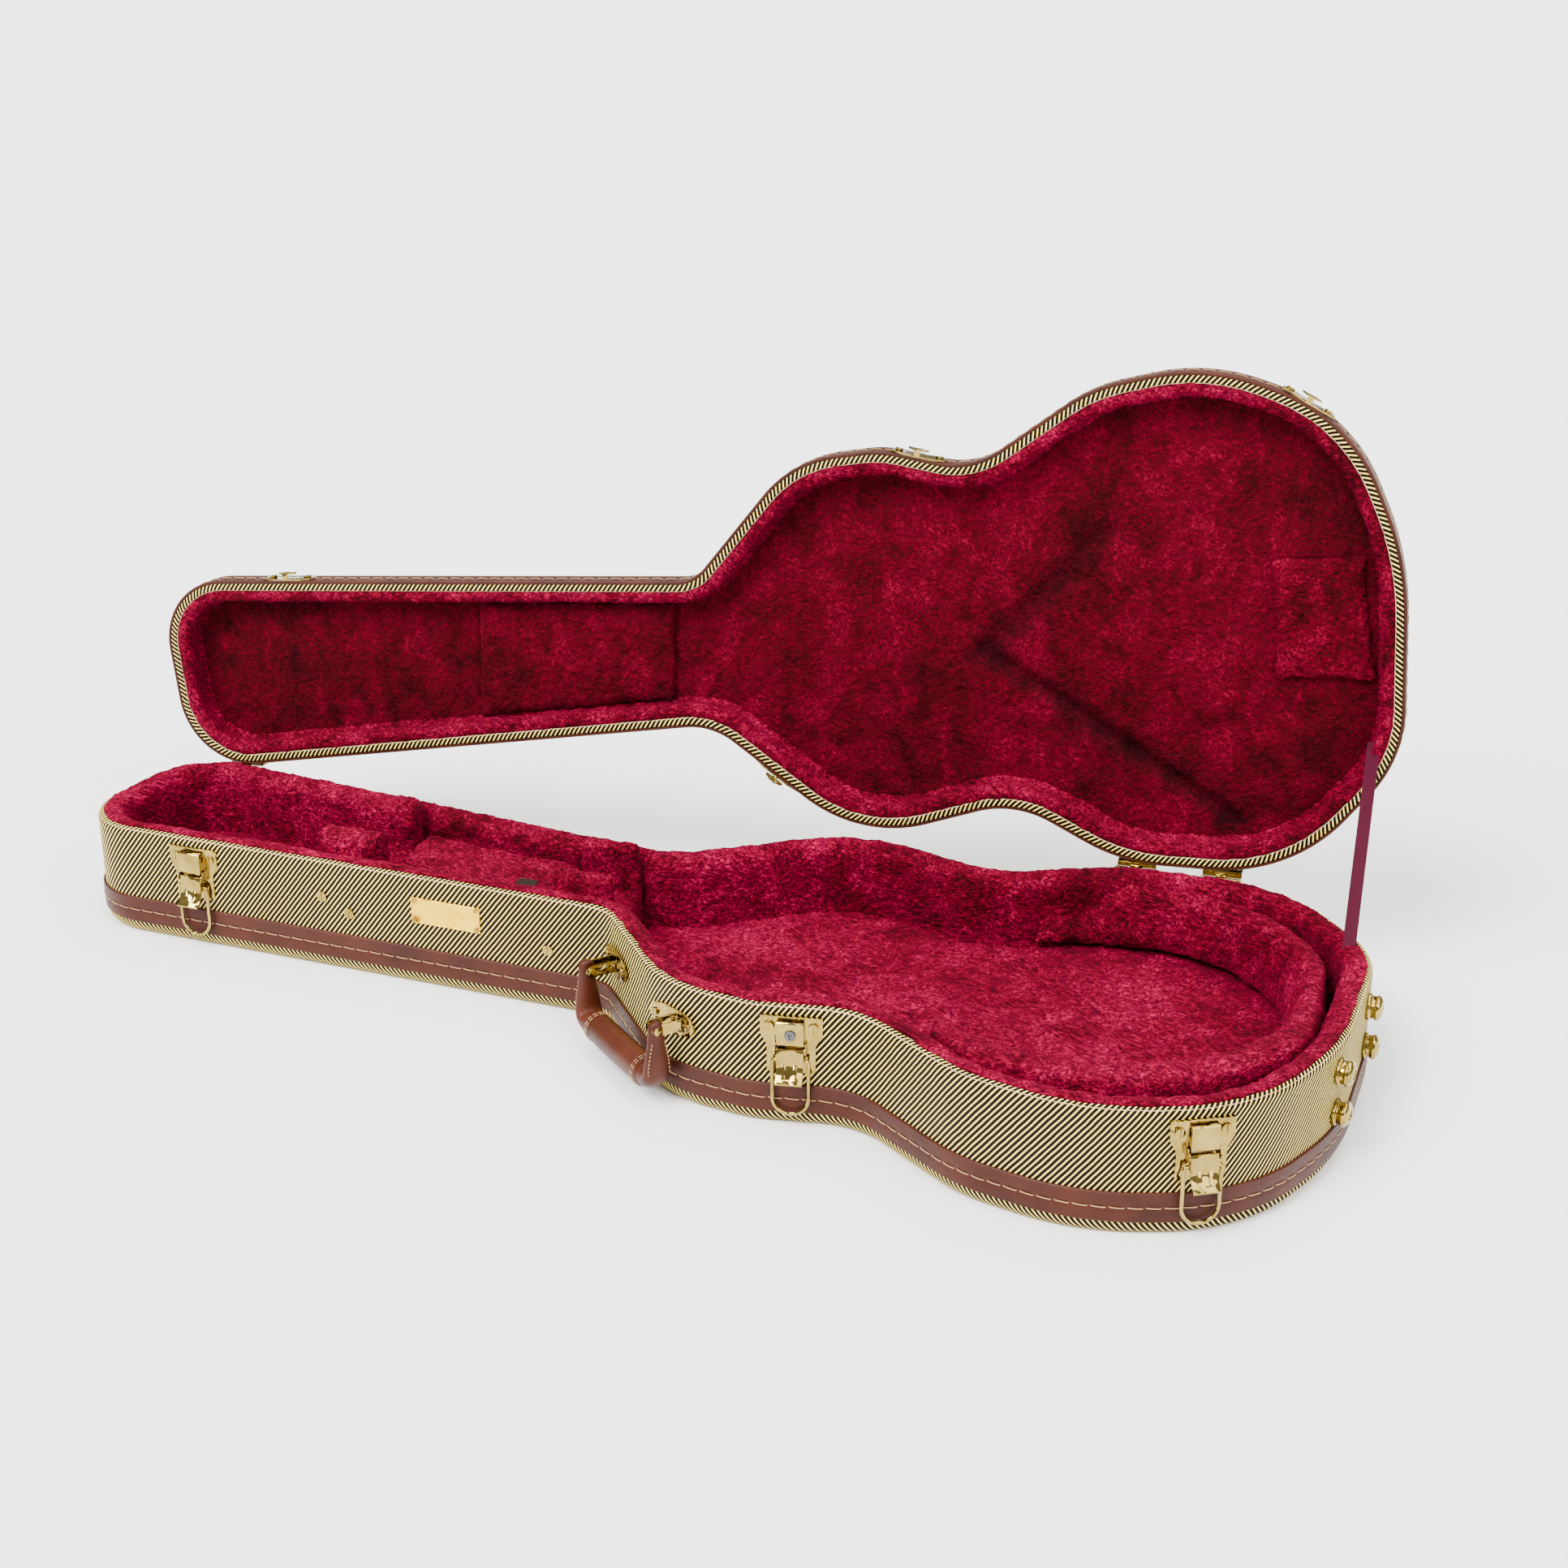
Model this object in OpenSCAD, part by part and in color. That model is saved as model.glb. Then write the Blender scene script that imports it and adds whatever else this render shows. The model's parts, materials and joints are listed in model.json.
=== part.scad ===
// Hard-shell guitar case, shaped to the instrument, standing open.
// X runs from the neck end (-X) to the body end (+X), the handle side is -Y, the hinge side is +Y.
// Z = 0 is the flat underside the case rests on. All lengths are millimetres.

/* [Case] */
// height of the base from the underside to its rim
base_height = 98; // [90:1:110]
// depth of the lid from its rim to its top
lid_height = 38; // [34:1:46]
// seam between the two rims when the case is shut
seam = 0.4; // [0.2:0.1:1]
// how far the lid is swung open
open_deg = 94.3; // [90:0.1:105]
// plywood side thickness
ply = 5.6; // [4:0.2:7]
// woven covering thickness
cloth = 1.2; // [0.6:0.1:1.5]
// leatherette band thickness
band_t = 2; // [1.2:0.1:2.5]
// width of the base's leatherette band
band_w = 23; // [18:1:30]
// rounding of the underside and top edges
edge_r = 9; // [6:1:12]

/* [Padding] */
// foam and plush lining on the base wall
lining = 12; // [8:1:16]
// top of the floor padding
floor_z = 38; // [24:1:44]
// top of the neck rests, a little above the rim
rest_z = 107; // [100:1:108]
// top of the accessory compartment's lid
box_lid_z = 79; // [70:1:84]

/* [Hardware] */
// latch back plate width
latch_w = 46; // [40:1:52]
// latch lever pivot height
lever_z = 65.5; // [62:0.5:67]
// bail wire radius
wire_r = 1.5; // [1.2:0.1:2]
// handle pivot height
pin_z = 67; // [60:1:72]
// drop of the grip below its pivots
grip_drop = 43; // [38:1:46]
// grip radius
grip_r = 11.5; // [10:0.5:13]
// rubbing foot radius
foot_r = 10; // [8:0.5:12]

/* [Hidden] */
$fn = 48;
wall_t = ply + 2*cloth;
lid_z = base_height + seam;
lid_top = lid_z + lid_height;
hinge_y = 204.6;
hinge_z = base_height - 6;

// corners of the rim's inner outline and the radius that rounds each: x, y, r
corners = [
  [-520, 203, 55], [-23, 110, 68], [111, 198, 108], [241, 149, 90],
  [335, 192, 136], [465, 187, 123], [539, 87, 96], [527, -65, 233],
  [476, -169, 128], [371, -200, 149], [287, -177, 114], [194, -105, 77],
  [115, -116, 88], [46, -103, 91], [-38, 6, 43], [-543, 48, 50]
];

brass = [0.85, 0.72, 0.38];
tweed = [0.85, 0.74, 0.47];
leather = [0.38, 0.22, 0.18];
plush = [0.45, 0.03, 0.13];
wood = [0.74, 0.6, 0.42];

// ---- outline ----
function unit(v) = v/norm(v);
function pt(i) = let(c = corners[(i + len(corners)) % len(corners)]) [c[0], c[1]];
function back(i) = unit(pt(i - 1) - pt(i));
function ahead(i) = unit(pt(i + 1) - pt(i));
function half(i) = acos(back(i)*ahead(i))/2;
function turn(i) = sign(-back(i)[0]*ahead(i)[1] + back(i)[1]*ahead(i)[0]);
function centre(i) = pt(i) + unit(back(i) + ahead(i))*corners[i][2]/sin(half(i));
function radial(i, v) = pt(i) + v*corners[i][2]/tan(half(i)) - centre(i);
function ang0(i) = let(q = radial(i, back(i))) atan2(q[1], q[0]);
function sweep_a(i) = turn(i)*(180 - 2*half(i));
function steps(i) = max(2, ceil(max(abs(sweep_a(i))/9, abs(sweep_a(i))*corners[i][2]/870)));
// the outline moved outwards by d, the same number of points for every d
function outline(d) = [for (i = [0:len(corners) - 1])
  for (k = [0:steps(i)])
    let(a = ang0(i) + sweep_a(i)*k/steps(i), r = corners[i][2] - turn(i)*d)
      centre(i) + r*[cos(a), sin(a)]];

module plate(d, z0, z1)
  translate([0, 0, z0]) linear_extrude(z1 - z0) polygon(outline(d));
module ring(d0, d1, z0, z1)
  translate([0, 0, z0]) linear_extrude(z1 - z0) difference() {
    polygon(outline(d1));
    polygon(outline(d0));
  }
// closed tube: a profile of [offset, z] carried round the outline
module loop(rows) {
  n = len(outline(0));
  m = len(rows);
  pts = [for (r = rows) for (p = outline(r[0])) [p[0], p[1], r[1]]];
  polyhedron(pts, [for (j = [0:m - 1]) for (i = [0:n - 1])
    [j*n + i, j*n + (i + 1) % n, ((j + 1) % m)*n + (i + 1) % n, ((j + 1) % m)*n + i]]);
}
// swing something drawn shut to the open pose
module opened()
  translate([0, hinge_y, hinge_z]) rotate([-open_deg, 0, 0])
    translate([0, -hinge_y, -hinge_z]) children();
// frame on the wall: local X outwards, local Y along the wall, Z up, z = 0 at the underside
module at_wall(w, out = 0)
  translate([w[0], w[1], 0]) rotate([0, 0, w[2]]) translate([out, 0, 0]) children();
module block(x0, x1, y0, y1, z0, z1)
  translate([x0, y0, z0]) cube([x1 - x0, y1 - y0, z1 - z0]);
// flat piece: a polygon in local Y and Z, with thickness along local X
module flat(x0, x1, pts)
  translate([x0, 0, 0]) rotate([90, 0, 90]) linear_extrude(x1 - x0) polygon(pts);
// solid with a side profile in local X and Z, with thickness along local Y
module side(y0, y1, pts)
  translate([0, y1, 0]) rotate([90, 0, 0]) linear_extrude(y1 - y0) polygon(pts);
module rod_x(r, x0, x1, y, z)
  translate([x0, y, z]) rotate([0, 90, 0]) cylinder(h = x1 - x0, r = r);
module rod_y(r, y0, y1, x, z)
  translate([x, y0, z]) rotate([-90, 0, 0]) cylinder(h = y1 - y0, r = r);

// ---- places on the outer wall: x, y, outward direction ----
latches = [[-424.7, 30.1, -94.8], [145.1, -119.9, -82.1], [449, -182.6, -62.3], [34.6, 157.4, 123.3]];
nameplate_at = [-185.7, 10.3, -94.76];
neck_screws = [[-301.2, 19.9, -94.76, 66], [-276.3, 17.8, -94.76, 54.5], [-94, 2.7, -94.76, 53],
  [-290, 168.1, 79.4, 64], [-73, 127.5, 79.4, 58]];
feet = [[530.3, -67.1, -15.6], [543.3, 39.4, -4.5]];
feet_z = [45, 77.5];
brackets = [[-21.9, -30.8, -142.4, -133.6], [50, -107.2, -120.4, -133.6]];
hinges = [[-473.9, 201.5], [345, 199], [415, 197.9]];
hinge_half = 16;
screw_r = 1.6;
// where the bail hangs in the lever: out from the wall, and up
bail_x = 5.6;
bail_z = 57.1;
axis_a = [-40.2, -47];
axis_b = [40.7, -124.2];

// ---- fasteners ----
// pan head on the surface at local x = s, shank running inwards by depth
module screw(s, y, z, head = 3.4, depth = 6.4) {
  difference() {
    rod_x(head, s, s + 1.6, y, z);
    block(s + 0.9, s + 2, y - 0.35, y + 0.35, z - head, z + head);
  }
  rod_x(screw_r, s - depth, s + 0.1, y, z);
}
module screw_hole(y, z, depth = 6.6)
  rod_x(screw_r, -depth, 4, y, z);
module base_holes() {
  for (w = latches) at_wall(w) for (s = [-1, 1]) screw_hole(s*16.5, 82, 5.2);
  for (w = neck_screws) at_wall(w) screw_hole(0, w[3], 40);
  at_wall(nameplate_at) for (s = [-1, 1]) for (z = [59.5, 77.5]) screw_hole(s*28.5, z, 5);
  for (w = feet) at_wall(w) for (z = feet_z) rod_x(2, -5, 2, 0, z);
  for (w = brackets) at_wall(w) for (s = [-1, 1]) screw_hole(s*18.5, pin_z + 1, 5.2);
  for (h = hinges) at_wall([h[0], h[1], 90]) for (s = [-1, 1])
    screw_hole(s*10, hinge_z - 17, 5.2);
}

// ---- base shell ----
module base_side_wall() color(wood)
  difference() {
    ring(cloth, cloth + ply, edge_r, base_height - cloth);
    base_holes();
  }
module base_side_cloth() color(tweed)
  difference() {
    union() {
      ring(wall_t - cloth, wall_t, 20, base_height - cloth);
      ring(0, wall_t, base_height - cloth, base_height - cloth/2);
      ring(0.8, wall_t - 0.8, base_height - cloth/2, base_height);
      ring(0, cloth, base_height - 14, base_height - cloth);
    }
    base_holes();
  }
function arc_rows(r, cz, up, a0, a1, n) = [for (k = [0:n])
  let(a = a0 + (a1 - a0)*k/n) [wall_t - edge_r + r*sin(a), cz - up*r*cos(a)]];
// the flat part of a panel or skin reaches this far out; its rounded edge is a loop round it
flat_d = wall_t - edge_r;
module base_bottom_panel() color(wood) {
  plate(flat_d - 0.2, cloth, edge_r);
  loop(concat([[flat_d - 1, cloth]], arc_rows(edge_r - cloth, edge_r, 1, 0, 90, 5),
    [[flat_d - 1, edge_r]]));
}
module base_bottom_cloth() color(tweed) {
  plate(flat_d - 0.2, 0, cloth);
  loop(concat([[flat_d - 1, 0]], arc_rows(edge_r, edge_r, 1, 0, 90, 5),
    [[wall_t, 20], [wall_t - cloth, 20]], arc_rows(edge_r - cloth, edge_r, 1, 90, 0, 5),
    [[flat_d - 1, cloth]]));
}
module base_trim_band() color(leather)
  ring(wall_t, wall_t + band_t, 11.6, 11.6 + band_w);

// ---- base padding ----
module strap_gap()
  block(516, 536, 66, 108, base_height - 21, base_height + 2);
module cavity2d() {
  intersection() {
    polygon(outline(-lining));
    union() {
      translate([-700, -300]) square([950, 600]);
      translate([352, 12]) circle(r = 172, $fn = 96);
    }
  }
}
module base_wall_lining() color(plush)
  difference() {
    plate(-0.2, floor_z, base_height - 2);
    translate([0, 0, floor_z - 1]) linear_extrude(base_height) cavity2d();
    strap_gap();
    for (w = neck_screws) at_wall(w) screw_hole(0, w[3], 40);
  }
module base_floor_pads() color(plush)
  intersection() {
    plate(-0.2, edge_r, floor_z);
    union() {
      block(-600, -319, -300, 300, 0, 100);
      block(-46, 600, -300, 300, 0, 100);
    }
  }
module base_bout_pad() color(plush)
  difference() {
    intersection() {
      translate([0, 0, floor_z]) linear_extrude(90 - floor_z) intersection() {
        polygon(outline(-lining - 0.3));
        translate([352, 12]) circle(r = 171.6, $fn = 96);
        union() {
          translate([272, 0]) square([238, 300]);
          translate([245, -300]) square([265, 300]);
        }
      }
    }
    translate([348, 20, floor_z - 0.1]) cylinder(h = 90 - floor_z + 0.2, r1 = 138, r2 = 152, $fn = 96);
  }
// block across the neck channel with two lobes and a valley for the neck
module neck_rest(x0, x1, y_front, y_rear, lobe) color(plush)
  difference() {
    intersection() {
      plate(-lining - 0.2, edge_r, 140);
      translate([x0, 0, 0]) rotate([90, 0, 90]) linear_extrude(x1 - x0) {
        translate([y_front - 20, edge_r]) square([y_rear - y_front + 40, 69 - edge_r]);
        for (y = [y_front + lobe, y_rear - lobe]) {
          translate([y, rest_z - lobe]) circle(r = lobe);
          translate([y - lobe, 60]) square([2*lobe, rest_z - lobe - 60]);
        }
        translate([y_front - 20, 60]) square([20 + lobe, rest_z - lobe - 72]);
        translate([y_rear - lobe, 60]) square([20 + lobe, rest_z - lobe - 72]);
      }
    }
    for (w = neck_screws) at_wall(w) screw_hole(0, w[3], 40);
  }
module neck_rest_head() neck_rest(-318, -262, 41, 149, 15);
module neck_rest_body() neck_rest(-98, -47, 22, 106, 8);
// the cover turns about its rounded rear edge
cover_axis_a = [-260.4, 138.85];
cover_axis_b = [-104.6, 109.55];
cover_turn = atan2(cover_axis_b[1] - cover_axis_a[1], cover_axis_b[0] - cover_axis_a[0]);
module box_plan(inset)
  polygon([[-261 + inset, 36.9 + inset], [-104 - inset, 23.8 + inset],
    [-104 - inset, 112.7 - inset], [-261 + inset, 142 - inset]]);
module accessory_box() color(plush)
  difference() {
    translate([0, 0, edge_r]) linear_extrude(box_lid_z - 5.3 - edge_r) box_plan(0);
    translate([0, 0, edge_r + 4]) linear_extrude(100) box_plan(4);
  }
module accessory_lid() color(plush)
  difference() {
    union() {
      translate([0, 0, box_lid_z - 5]) linear_extrude(5)
        polygon([[-260.4, 37.5], [-104.6, 24.5], cover_axis_b, cover_axis_a]);
      translate([cover_axis_a[0], cover_axis_a[1], box_lid_z - 2.5]) rotate([0, 90, cover_turn])
        cylinder(r = 2.6, h = norm(cover_axis_b - cover_axis_a));
    }
    block(-146, -125, 43, 68, box_lid_z - 0.6, box_lid_z + 1);
  }
module accessory_pull_tab() color([0.28, 0.24, 0.22])
  block(-144, -127, 45, 66, box_lid_z - 0.5, box_lid_z + 0.6);

// ---- nameplate, screws, feet ----
module nameplate() color(brass)
  at_wall(nameplate_at) difference() {
    flat(0.2, 1.1, [[-31.5, 57.2], [31.5, 57.2], [31.5, 79.8], [-31.5, 79.8]]);
    for (s = [-1, 1]) for (z = [59.5, 77.5]) screw_hole(s*28.5, z, 5);
  }
module nameplate_screws() color(brass)
  at_wall(nameplate_at) for (s = [-1, 1]) for (z = [59.5, 77.5])
    screw(1.1, s*28.5, z, 2.1, 5.6);
module base_screws() color(brass) {
  for (w = latches) at_wall(w) for (s = [-1, 1]) screw(1.6, s*16.5, 82, 3.8, 6.4);
  for (w = neck_screws) at_wall(w) screw(0.2, 0, w[3], 4.4, 34);
  for (w = brackets) at_wall(w) for (s = [-1, 1]) screw(2.2, s*18.5, pin_z + 1, 3.2, 7);
}
module tail_feet() color(brass)
  for (w = feet) at_wall(w) for (z = feet_z) difference() {
    translate([0.3, 0, z]) rotate([0, 90, 0]) rotate_extrude($fn = 64) polygon([
      [0, 0], [foot_r, 0], [foot_r, 2], [foot_r - 1.5, 3], [foot_r - 1.5, 5.5],
      [foot_r - 0.4, 7], [foot_r - 1.2, 9], [foot_r - 3.5, 10.6], [foot_r - 6.5, 11.4], [0, 11.4]]);
    rod_x(2, -1, 14, 0, z);
    rod_x(3.6, 9.5, 14, 0, z);
  }
module tail_feet_screws() color(brass)
  for (w = feet) at_wall(w) for (z = feet_z) difference() {
    union() {
      rod_x(3.5, 9.5, 11, 0, z);
      rod_x(2, -4.6, 9.6, 0, z);
    }
    block(10.4, 12, -0.4, 0.4, z - 4, z + 4);
  }

// ---- handle ----
// frame on the pivot axis: local Y along the axis, local X straight out from the case
axis_dir = unit(axis_b - axis_a);
axis_len = norm(axis_b - axis_a);
module on_axis()
  translate([(axis_a[0] + axis_b[0])/2, (axis_a[1] + axis_b[1])/2, pin_z])
    rotate([0, 0, atan2(axis_dir[1], axis_dir[0]) - 90]) children();
module handle_bracket(w, s, reach) color(brass)
  difference() {
    union() {
      at_wall(w) flat(0.6, 2.2, [[-25, pin_z + 1], [-21, pin_z - 6], [-8, pin_z - 10], [8, pin_z - 10],
        [21, pin_z - 6], [25, pin_z + 1], [21, pin_z + 8], [8, pin_z + 11], [-8, pin_z + 11], [-21, pin_z + 8]]);
      on_axis() for (k = [-1, 1]) {
        block(-reach, 0, s*axis_len/2 + k*5.6 - 0.8, s*axis_len/2 + k*5.6 + 0.8, -4.5, 4.5);
        rod_y(4.5, s*axis_len/2 + k*5.6 - 0.8, s*axis_len/2 + k*5.6 + 0.8, 0, 0);
      }
    }
    on_axis() rod_y(2.25, s*axis_len/2 - 9, s*axis_len/2 + 9, 0, 0);
    at_wall(w) for (k = [-1, 1]) screw_hole(k*18.5, pin_z + 1, 5.2);
    at_wall(w) block(-30, 0.6, -40, 40, 40, 90);
  }
module handle_bracket_neck() handle_bracket(brackets[0], -1, 25);
module handle_bracket_body() handle_bracket(brackets[1], 1, 21);
module handle_pins() color(brass)
  on_axis() for (s = [-1, 1]) {
    rod_y(2.2, s*axis_len/2 - 6.4, s*axis_len/2 + 6.4, 0, 0);
    rod_y(3.4, s*axis_len/2 - 7.6, s*axis_len/2 - 6.4, 0, 0);
    rod_y(3.4, s*axis_len/2 + 6.4, s*axis_len/2 + 7.6, 0, 0);
  }
module handle_tabs() color(leather)
  on_axis() for (s = [-1, 1]) difference() {
    translate([0, s*axis_len/2 + 4, 0]) rotate([90, 0, 0]) linear_extrude(8) {
      circle(r = 7);
      translate([0, -grip_drop + 8]) circle(r = 10);
      polygon([[-7, 0], [-10, 8 - grip_drop], [10, 8 - grip_drop], [7, 0]]);
    }
    rod_y(2.25, -100, 100, 0, 0);
    rod_y(grip_r, -axis_len/2 + 4.1, axis_len/2 - 4.1, 0, -grip_drop);
  }
module handle_grip() color(leather)
  on_axis() {
    rod_y(grip_r, -axis_len/2 + 4, axis_len/2 - 4, 0, -grip_drop);
    for (s = [-1, 1]) {
      rod_y(grip_r + 0.8, s*(axis_len/2 - 12) - 1.5, s*(axis_len/2 - 12) + 1.5, 0, -grip_drop);
      rod_y(grip_r + 0.8, s*(axis_len/2 - 19) - 1.5, s*(axis_len/2 - 19) + 1.5, 0, -grip_drop);
    }
  }

// ---- latches ----
module latch_plate(w, keyed = false) color(brass)
  at_wall(w) difference() {
    union() {
      flat(0.2, 1.6, [[-latch_w/2, 90], [-latch_w/2, 76], [-18, 67], [-18, 47], [-16, 45],
        [16, 45], [18, 47], [18, 67], [latch_w/2, 76], [latch_w/2, 90]]);
      block(0.2, 3.4, -latch_w/2 + 1, latch_w/2 - 1, 89.4, 91);
      side(-10, 10, [[1.2, 68.2], [6.4, 68.2], [7.8, 70], [7.8, 87], [6.8, 88], [1.2, 88]]);
      for (k = [-1, 1]) {
        block(1.2, 6.5, k*11.2 - 0.5, k*11.2 + 0.5, lever_z - 3.5, lever_z + 6);
        rod_y(3.5, k*11.2 - 0.5, k*11.2 + 0.5, 6.5, lever_z);
      }
    }
    for (k = [-1, 1]) screw_hole(k*16.5, 82, 5.2);
    rod_y(1.1, -14, 14, 6.5, lever_z);
    if (keyed) rod_x(4.1, 3.5, 10, 0, 78);
  }
module latch1_plate() latch_plate(latches[0]);
module latch2_plate() latch_plate(latches[1], true);
module latch3_plate() latch_plate(latches[2]);
module latch4_plate() latch_plate(latches[3]);
module latch_pins() color(brass)
  for (w = latches) at_wall(w) rod_y(1.05, -11.75, 11.75, 6.5, lever_z);
module lever(w) color(brass)
  at_wall(w) difference() {
    union() {
      side(-9.8, 9.8, [[7, lever_z + 1.4], [8.2, lever_z + 1], [8.8, lever_z - 3], [9.4, 53], [11.4, 48],
        [14.4, 44.4], [17, 43], [16.6, 41.6], [13.6, 43], [10, 47.2], [8, 53], [7.2, 57], [6.6, 58]]);
      for (k = [-1, 1]) {
        side(k*9.3 - 0.5, k*9.3 + 0.5, [[4.6, lever_z + 1.5], [7.6, lever_z + 1.5], [8.8, 60],
          [9.6, 54.5], [4, 54.5], [4, 59]]);
        translate([0, k*4.2, 0]) side(-1.3, 1.3, [[9, 55.5], [10.4, 54], [11.4, 51], [12.9, 48],
          [14.4, 46.2], [13.6, 45], [11, 48], [9.2, 53]]);
      }
    }
    rod_y(1.1, -14, 14, 6.5, lever_z);
    rod_y(1.15, -14, 14, bail_x, bail_z);
  }
module latch1_lever() lever(latches[0]);
module latch2_lever() lever(latches[1]);
module latch3_lever() lever(latches[2]);
module latch4_lever() lever(latches[3]);
// wire loop hanging from the lever's two holes
module bail(w) color(brass)
  at_wall(w) {
    for (k = [-1, 1]) {
      rod_y(1.1, k*11 - 3, k*11 + 3, bail_x, bail_z);
      translate([bail_x, k*13.4, 26]) cylinder(h = bail_z - 25.6, r = wire_r, $fn = 32);
    }
    translate([bail_x, 0, 26]) rotate([0, 90, 0]) rotate([0, 0, -90])
      rotate_extrude(angle = 180, $fn = 64) translate([13.4, 0]) circle(r = wire_r, $fn = 32);
  }
module latch1_bail() bail(latches[0]);
module latch2_bail() bail(latches[1]);
module latch3_bail() bail(latches[2]);
module latch4_bail() bail(latches[3]);
module lock_plug() color([0.75, 0.75, 0.76])
  at_wall(latches[1]) difference() {
    rod_x(4.05, 3.7, 8.6, 0, 78);
    block(7, 9, -0.6, 0.6, 75.4, 80.6);
    rod_x(1.3, 7, 9, 0, 79);
  }

// ---- hinges ----
module hinge_base_leaf(h) color(brass)
  at_wall([h[0], h[1], 90]) difference() {
    gap = hinge_y - h[1];
    union() {
      side(-hinge_half, hinge_half, [[0.1, hinge_z - 25], [1.6, hinge_z - 25], [1.6, hinge_z - 5.8],
        [gap + 0.8, hinge_z - 5.8], [gap + 0.8, hinge_z - 4.2], [0.1, hinge_z - 4.2]]);
      for (k = [-1, 1]) {
        side(k*10.8 - 5.2, k*10.8 + 5.2, [[gap - 0.8, hinge_z - 5], [gap + 0.8, hinge_z - 5],
          [gap + 0.8, hinge_z], [gap - 0.8, hinge_z]]);
        rod_y(2.6, k*10.8 - 5.2, k*10.8 + 5.2, gap, hinge_z);
      }
    }
    rod_y(1.25, -20, 20, gap, hinge_z);
    for (k = [-1, 1]) screw_hole(k*10, hinge_z - 17, 5.2);
  }
module hinge1_base_leaf() hinge_base_leaf(hinges[0]);
module hinge2_base_leaf() hinge_base_leaf(hinges[1]);
module hinge3_base_leaf() hinge_base_leaf(hinges[2]);
module hinge_pins() color(brass)
  for (h = hinges) translate([h[0], 0, 0]) rod_x(1.2, -17, 17, hinge_y, hinge_z);
module hinge_base_screws() color(brass)
  for (h = hinges) at_wall([h[0], h[1], 90]) for (k = [-1, 1])
    screw(1.6, k*10, hinge_z - 17, 2.8, 6.4);
module hinge_lid_leaf(h) color(brass)
  opened() at_wall([h[0], h[1], 90]) difference() {
    gap = hinge_y - h[1];
    union() {
      side(-hinge_half, hinge_half, [[band_t + 0.1, 102.4], [gap + 0.8, 102.4], [gap + 0.8, 104],
        [band_t + 1.6, 104], [band_t + 1.6, 122], [band_t + 0.1, 122]]);
      side(-5, 5, [[gap - 0.8, hinge_z], [gap + 0.8, hinge_z], [gap + 0.8, 103], [gap - 0.8, 103]]);
      rod_y(2.6, -5, 5, gap, hinge_z);
    }
    rod_y(1.25, -20, 20, gap, hinge_z);
    for (k = [-1, 1]) screw_hole(k*10, 114, 5.2);
  }
module hinge1_lid_leaf() hinge_lid_leaf(hinges[0]);
module hinge2_lid_leaf() hinge_lid_leaf(hinges[1]);
module hinge3_lid_leaf() hinge_lid_leaf(hinges[2]);

// ---- lid, drawn shut and swung open ----
module lid_holes() {
  for (w = latches) at_wall(w, band_t) for (s = [-1, 1]) screw_hole(s*17, lid_z + 11, 7);
  for (h = hinges) at_wall([h[0], h[1], 90]) for (s = [-1, 1]) screw_hole(s*10, 114, 5.2);
}
module lid_side_wall() color(wood)
  opened() difference() {
    ring(cloth, cloth + ply, lid_z + cloth, lid_top - edge_r);
    lid_holes();
  }
module lid_rim_cloth() color(tweed)
  opened() difference() {
    union() {
      ring(wall_t - cloth, wall_t, lid_z + cloth, lid_z + 20);
      ring(0, wall_t, lid_z + cloth/2, lid_z + cloth);
      ring(0.8, wall_t - 0.8, lid_z, lid_z + cloth/2);
      ring(0, cloth, lid_z + cloth, lid_z + 12);
    }
    lid_holes();
  }
module lid_top_panel() color(wood)
  opened() {
    plate(flat_d - 0.2, lid_top - edge_r, lid_top - cloth);
    loop(concat(arc_rows(edge_r - cloth, lid_top - edge_r, -1, 90, 0, 5),
      [[flat_d - 1, lid_top - cloth], [flat_d - 1, lid_top - edge_r]]));
  }
module lid_top_cloth() color(tweed)
  opened() {
    plate(flat_d - 0.2, lid_top - cloth, lid_top);
    loop(concat([[wall_t, lid_z + 20]], arc_rows(edge_r, lid_top - edge_r, -1, 90, 0, 5),
      [[flat_d - 1, lid_top], [flat_d - 1, lid_top - cloth]],
      arc_rows(edge_r - cloth, lid_top - edge_r, -1, 0, 90, 5), [[wall_t - cloth, lid_z + 20]]));
  }
module lid_trim_band() color(leather)
  opened() difference() {
    ring(wall_t, wall_t + band_t, lid_z + 0.6, lid_z + 26);
    lid_holes();
  }
module lid_wall_lining() color(plush)
  opened() difference() {
    ring(-8, -0.2, lid_z + 2, lid_top - edge_r - 6);
    block(516, 536, 66, 108, lid_z - 2, lid_z + 20);
  }
module lid_panel_lining() color(plush)
  opened() plate(-0.2, lid_top - edge_r - 6, lid_top - edge_r - 0.01);
module lid_neck_pad() color(plush)
  opened() intersection() {
    plate(-8.4, 100, 140);
    translate([0, 0, lid_top - edge_r - 13]) linear_extrude(7)
      polygon([[-250, 20], [-60, 10], [-60, 130], [-250, 160]]);
  }
module lid_pocket() color(plush)
  opened() translate([0, 0, lid_top - edge_r - 11]) linear_extrude(5)
    polygon([[430, -60], [505, -70], [523, 34], [441, 40]]);
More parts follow.
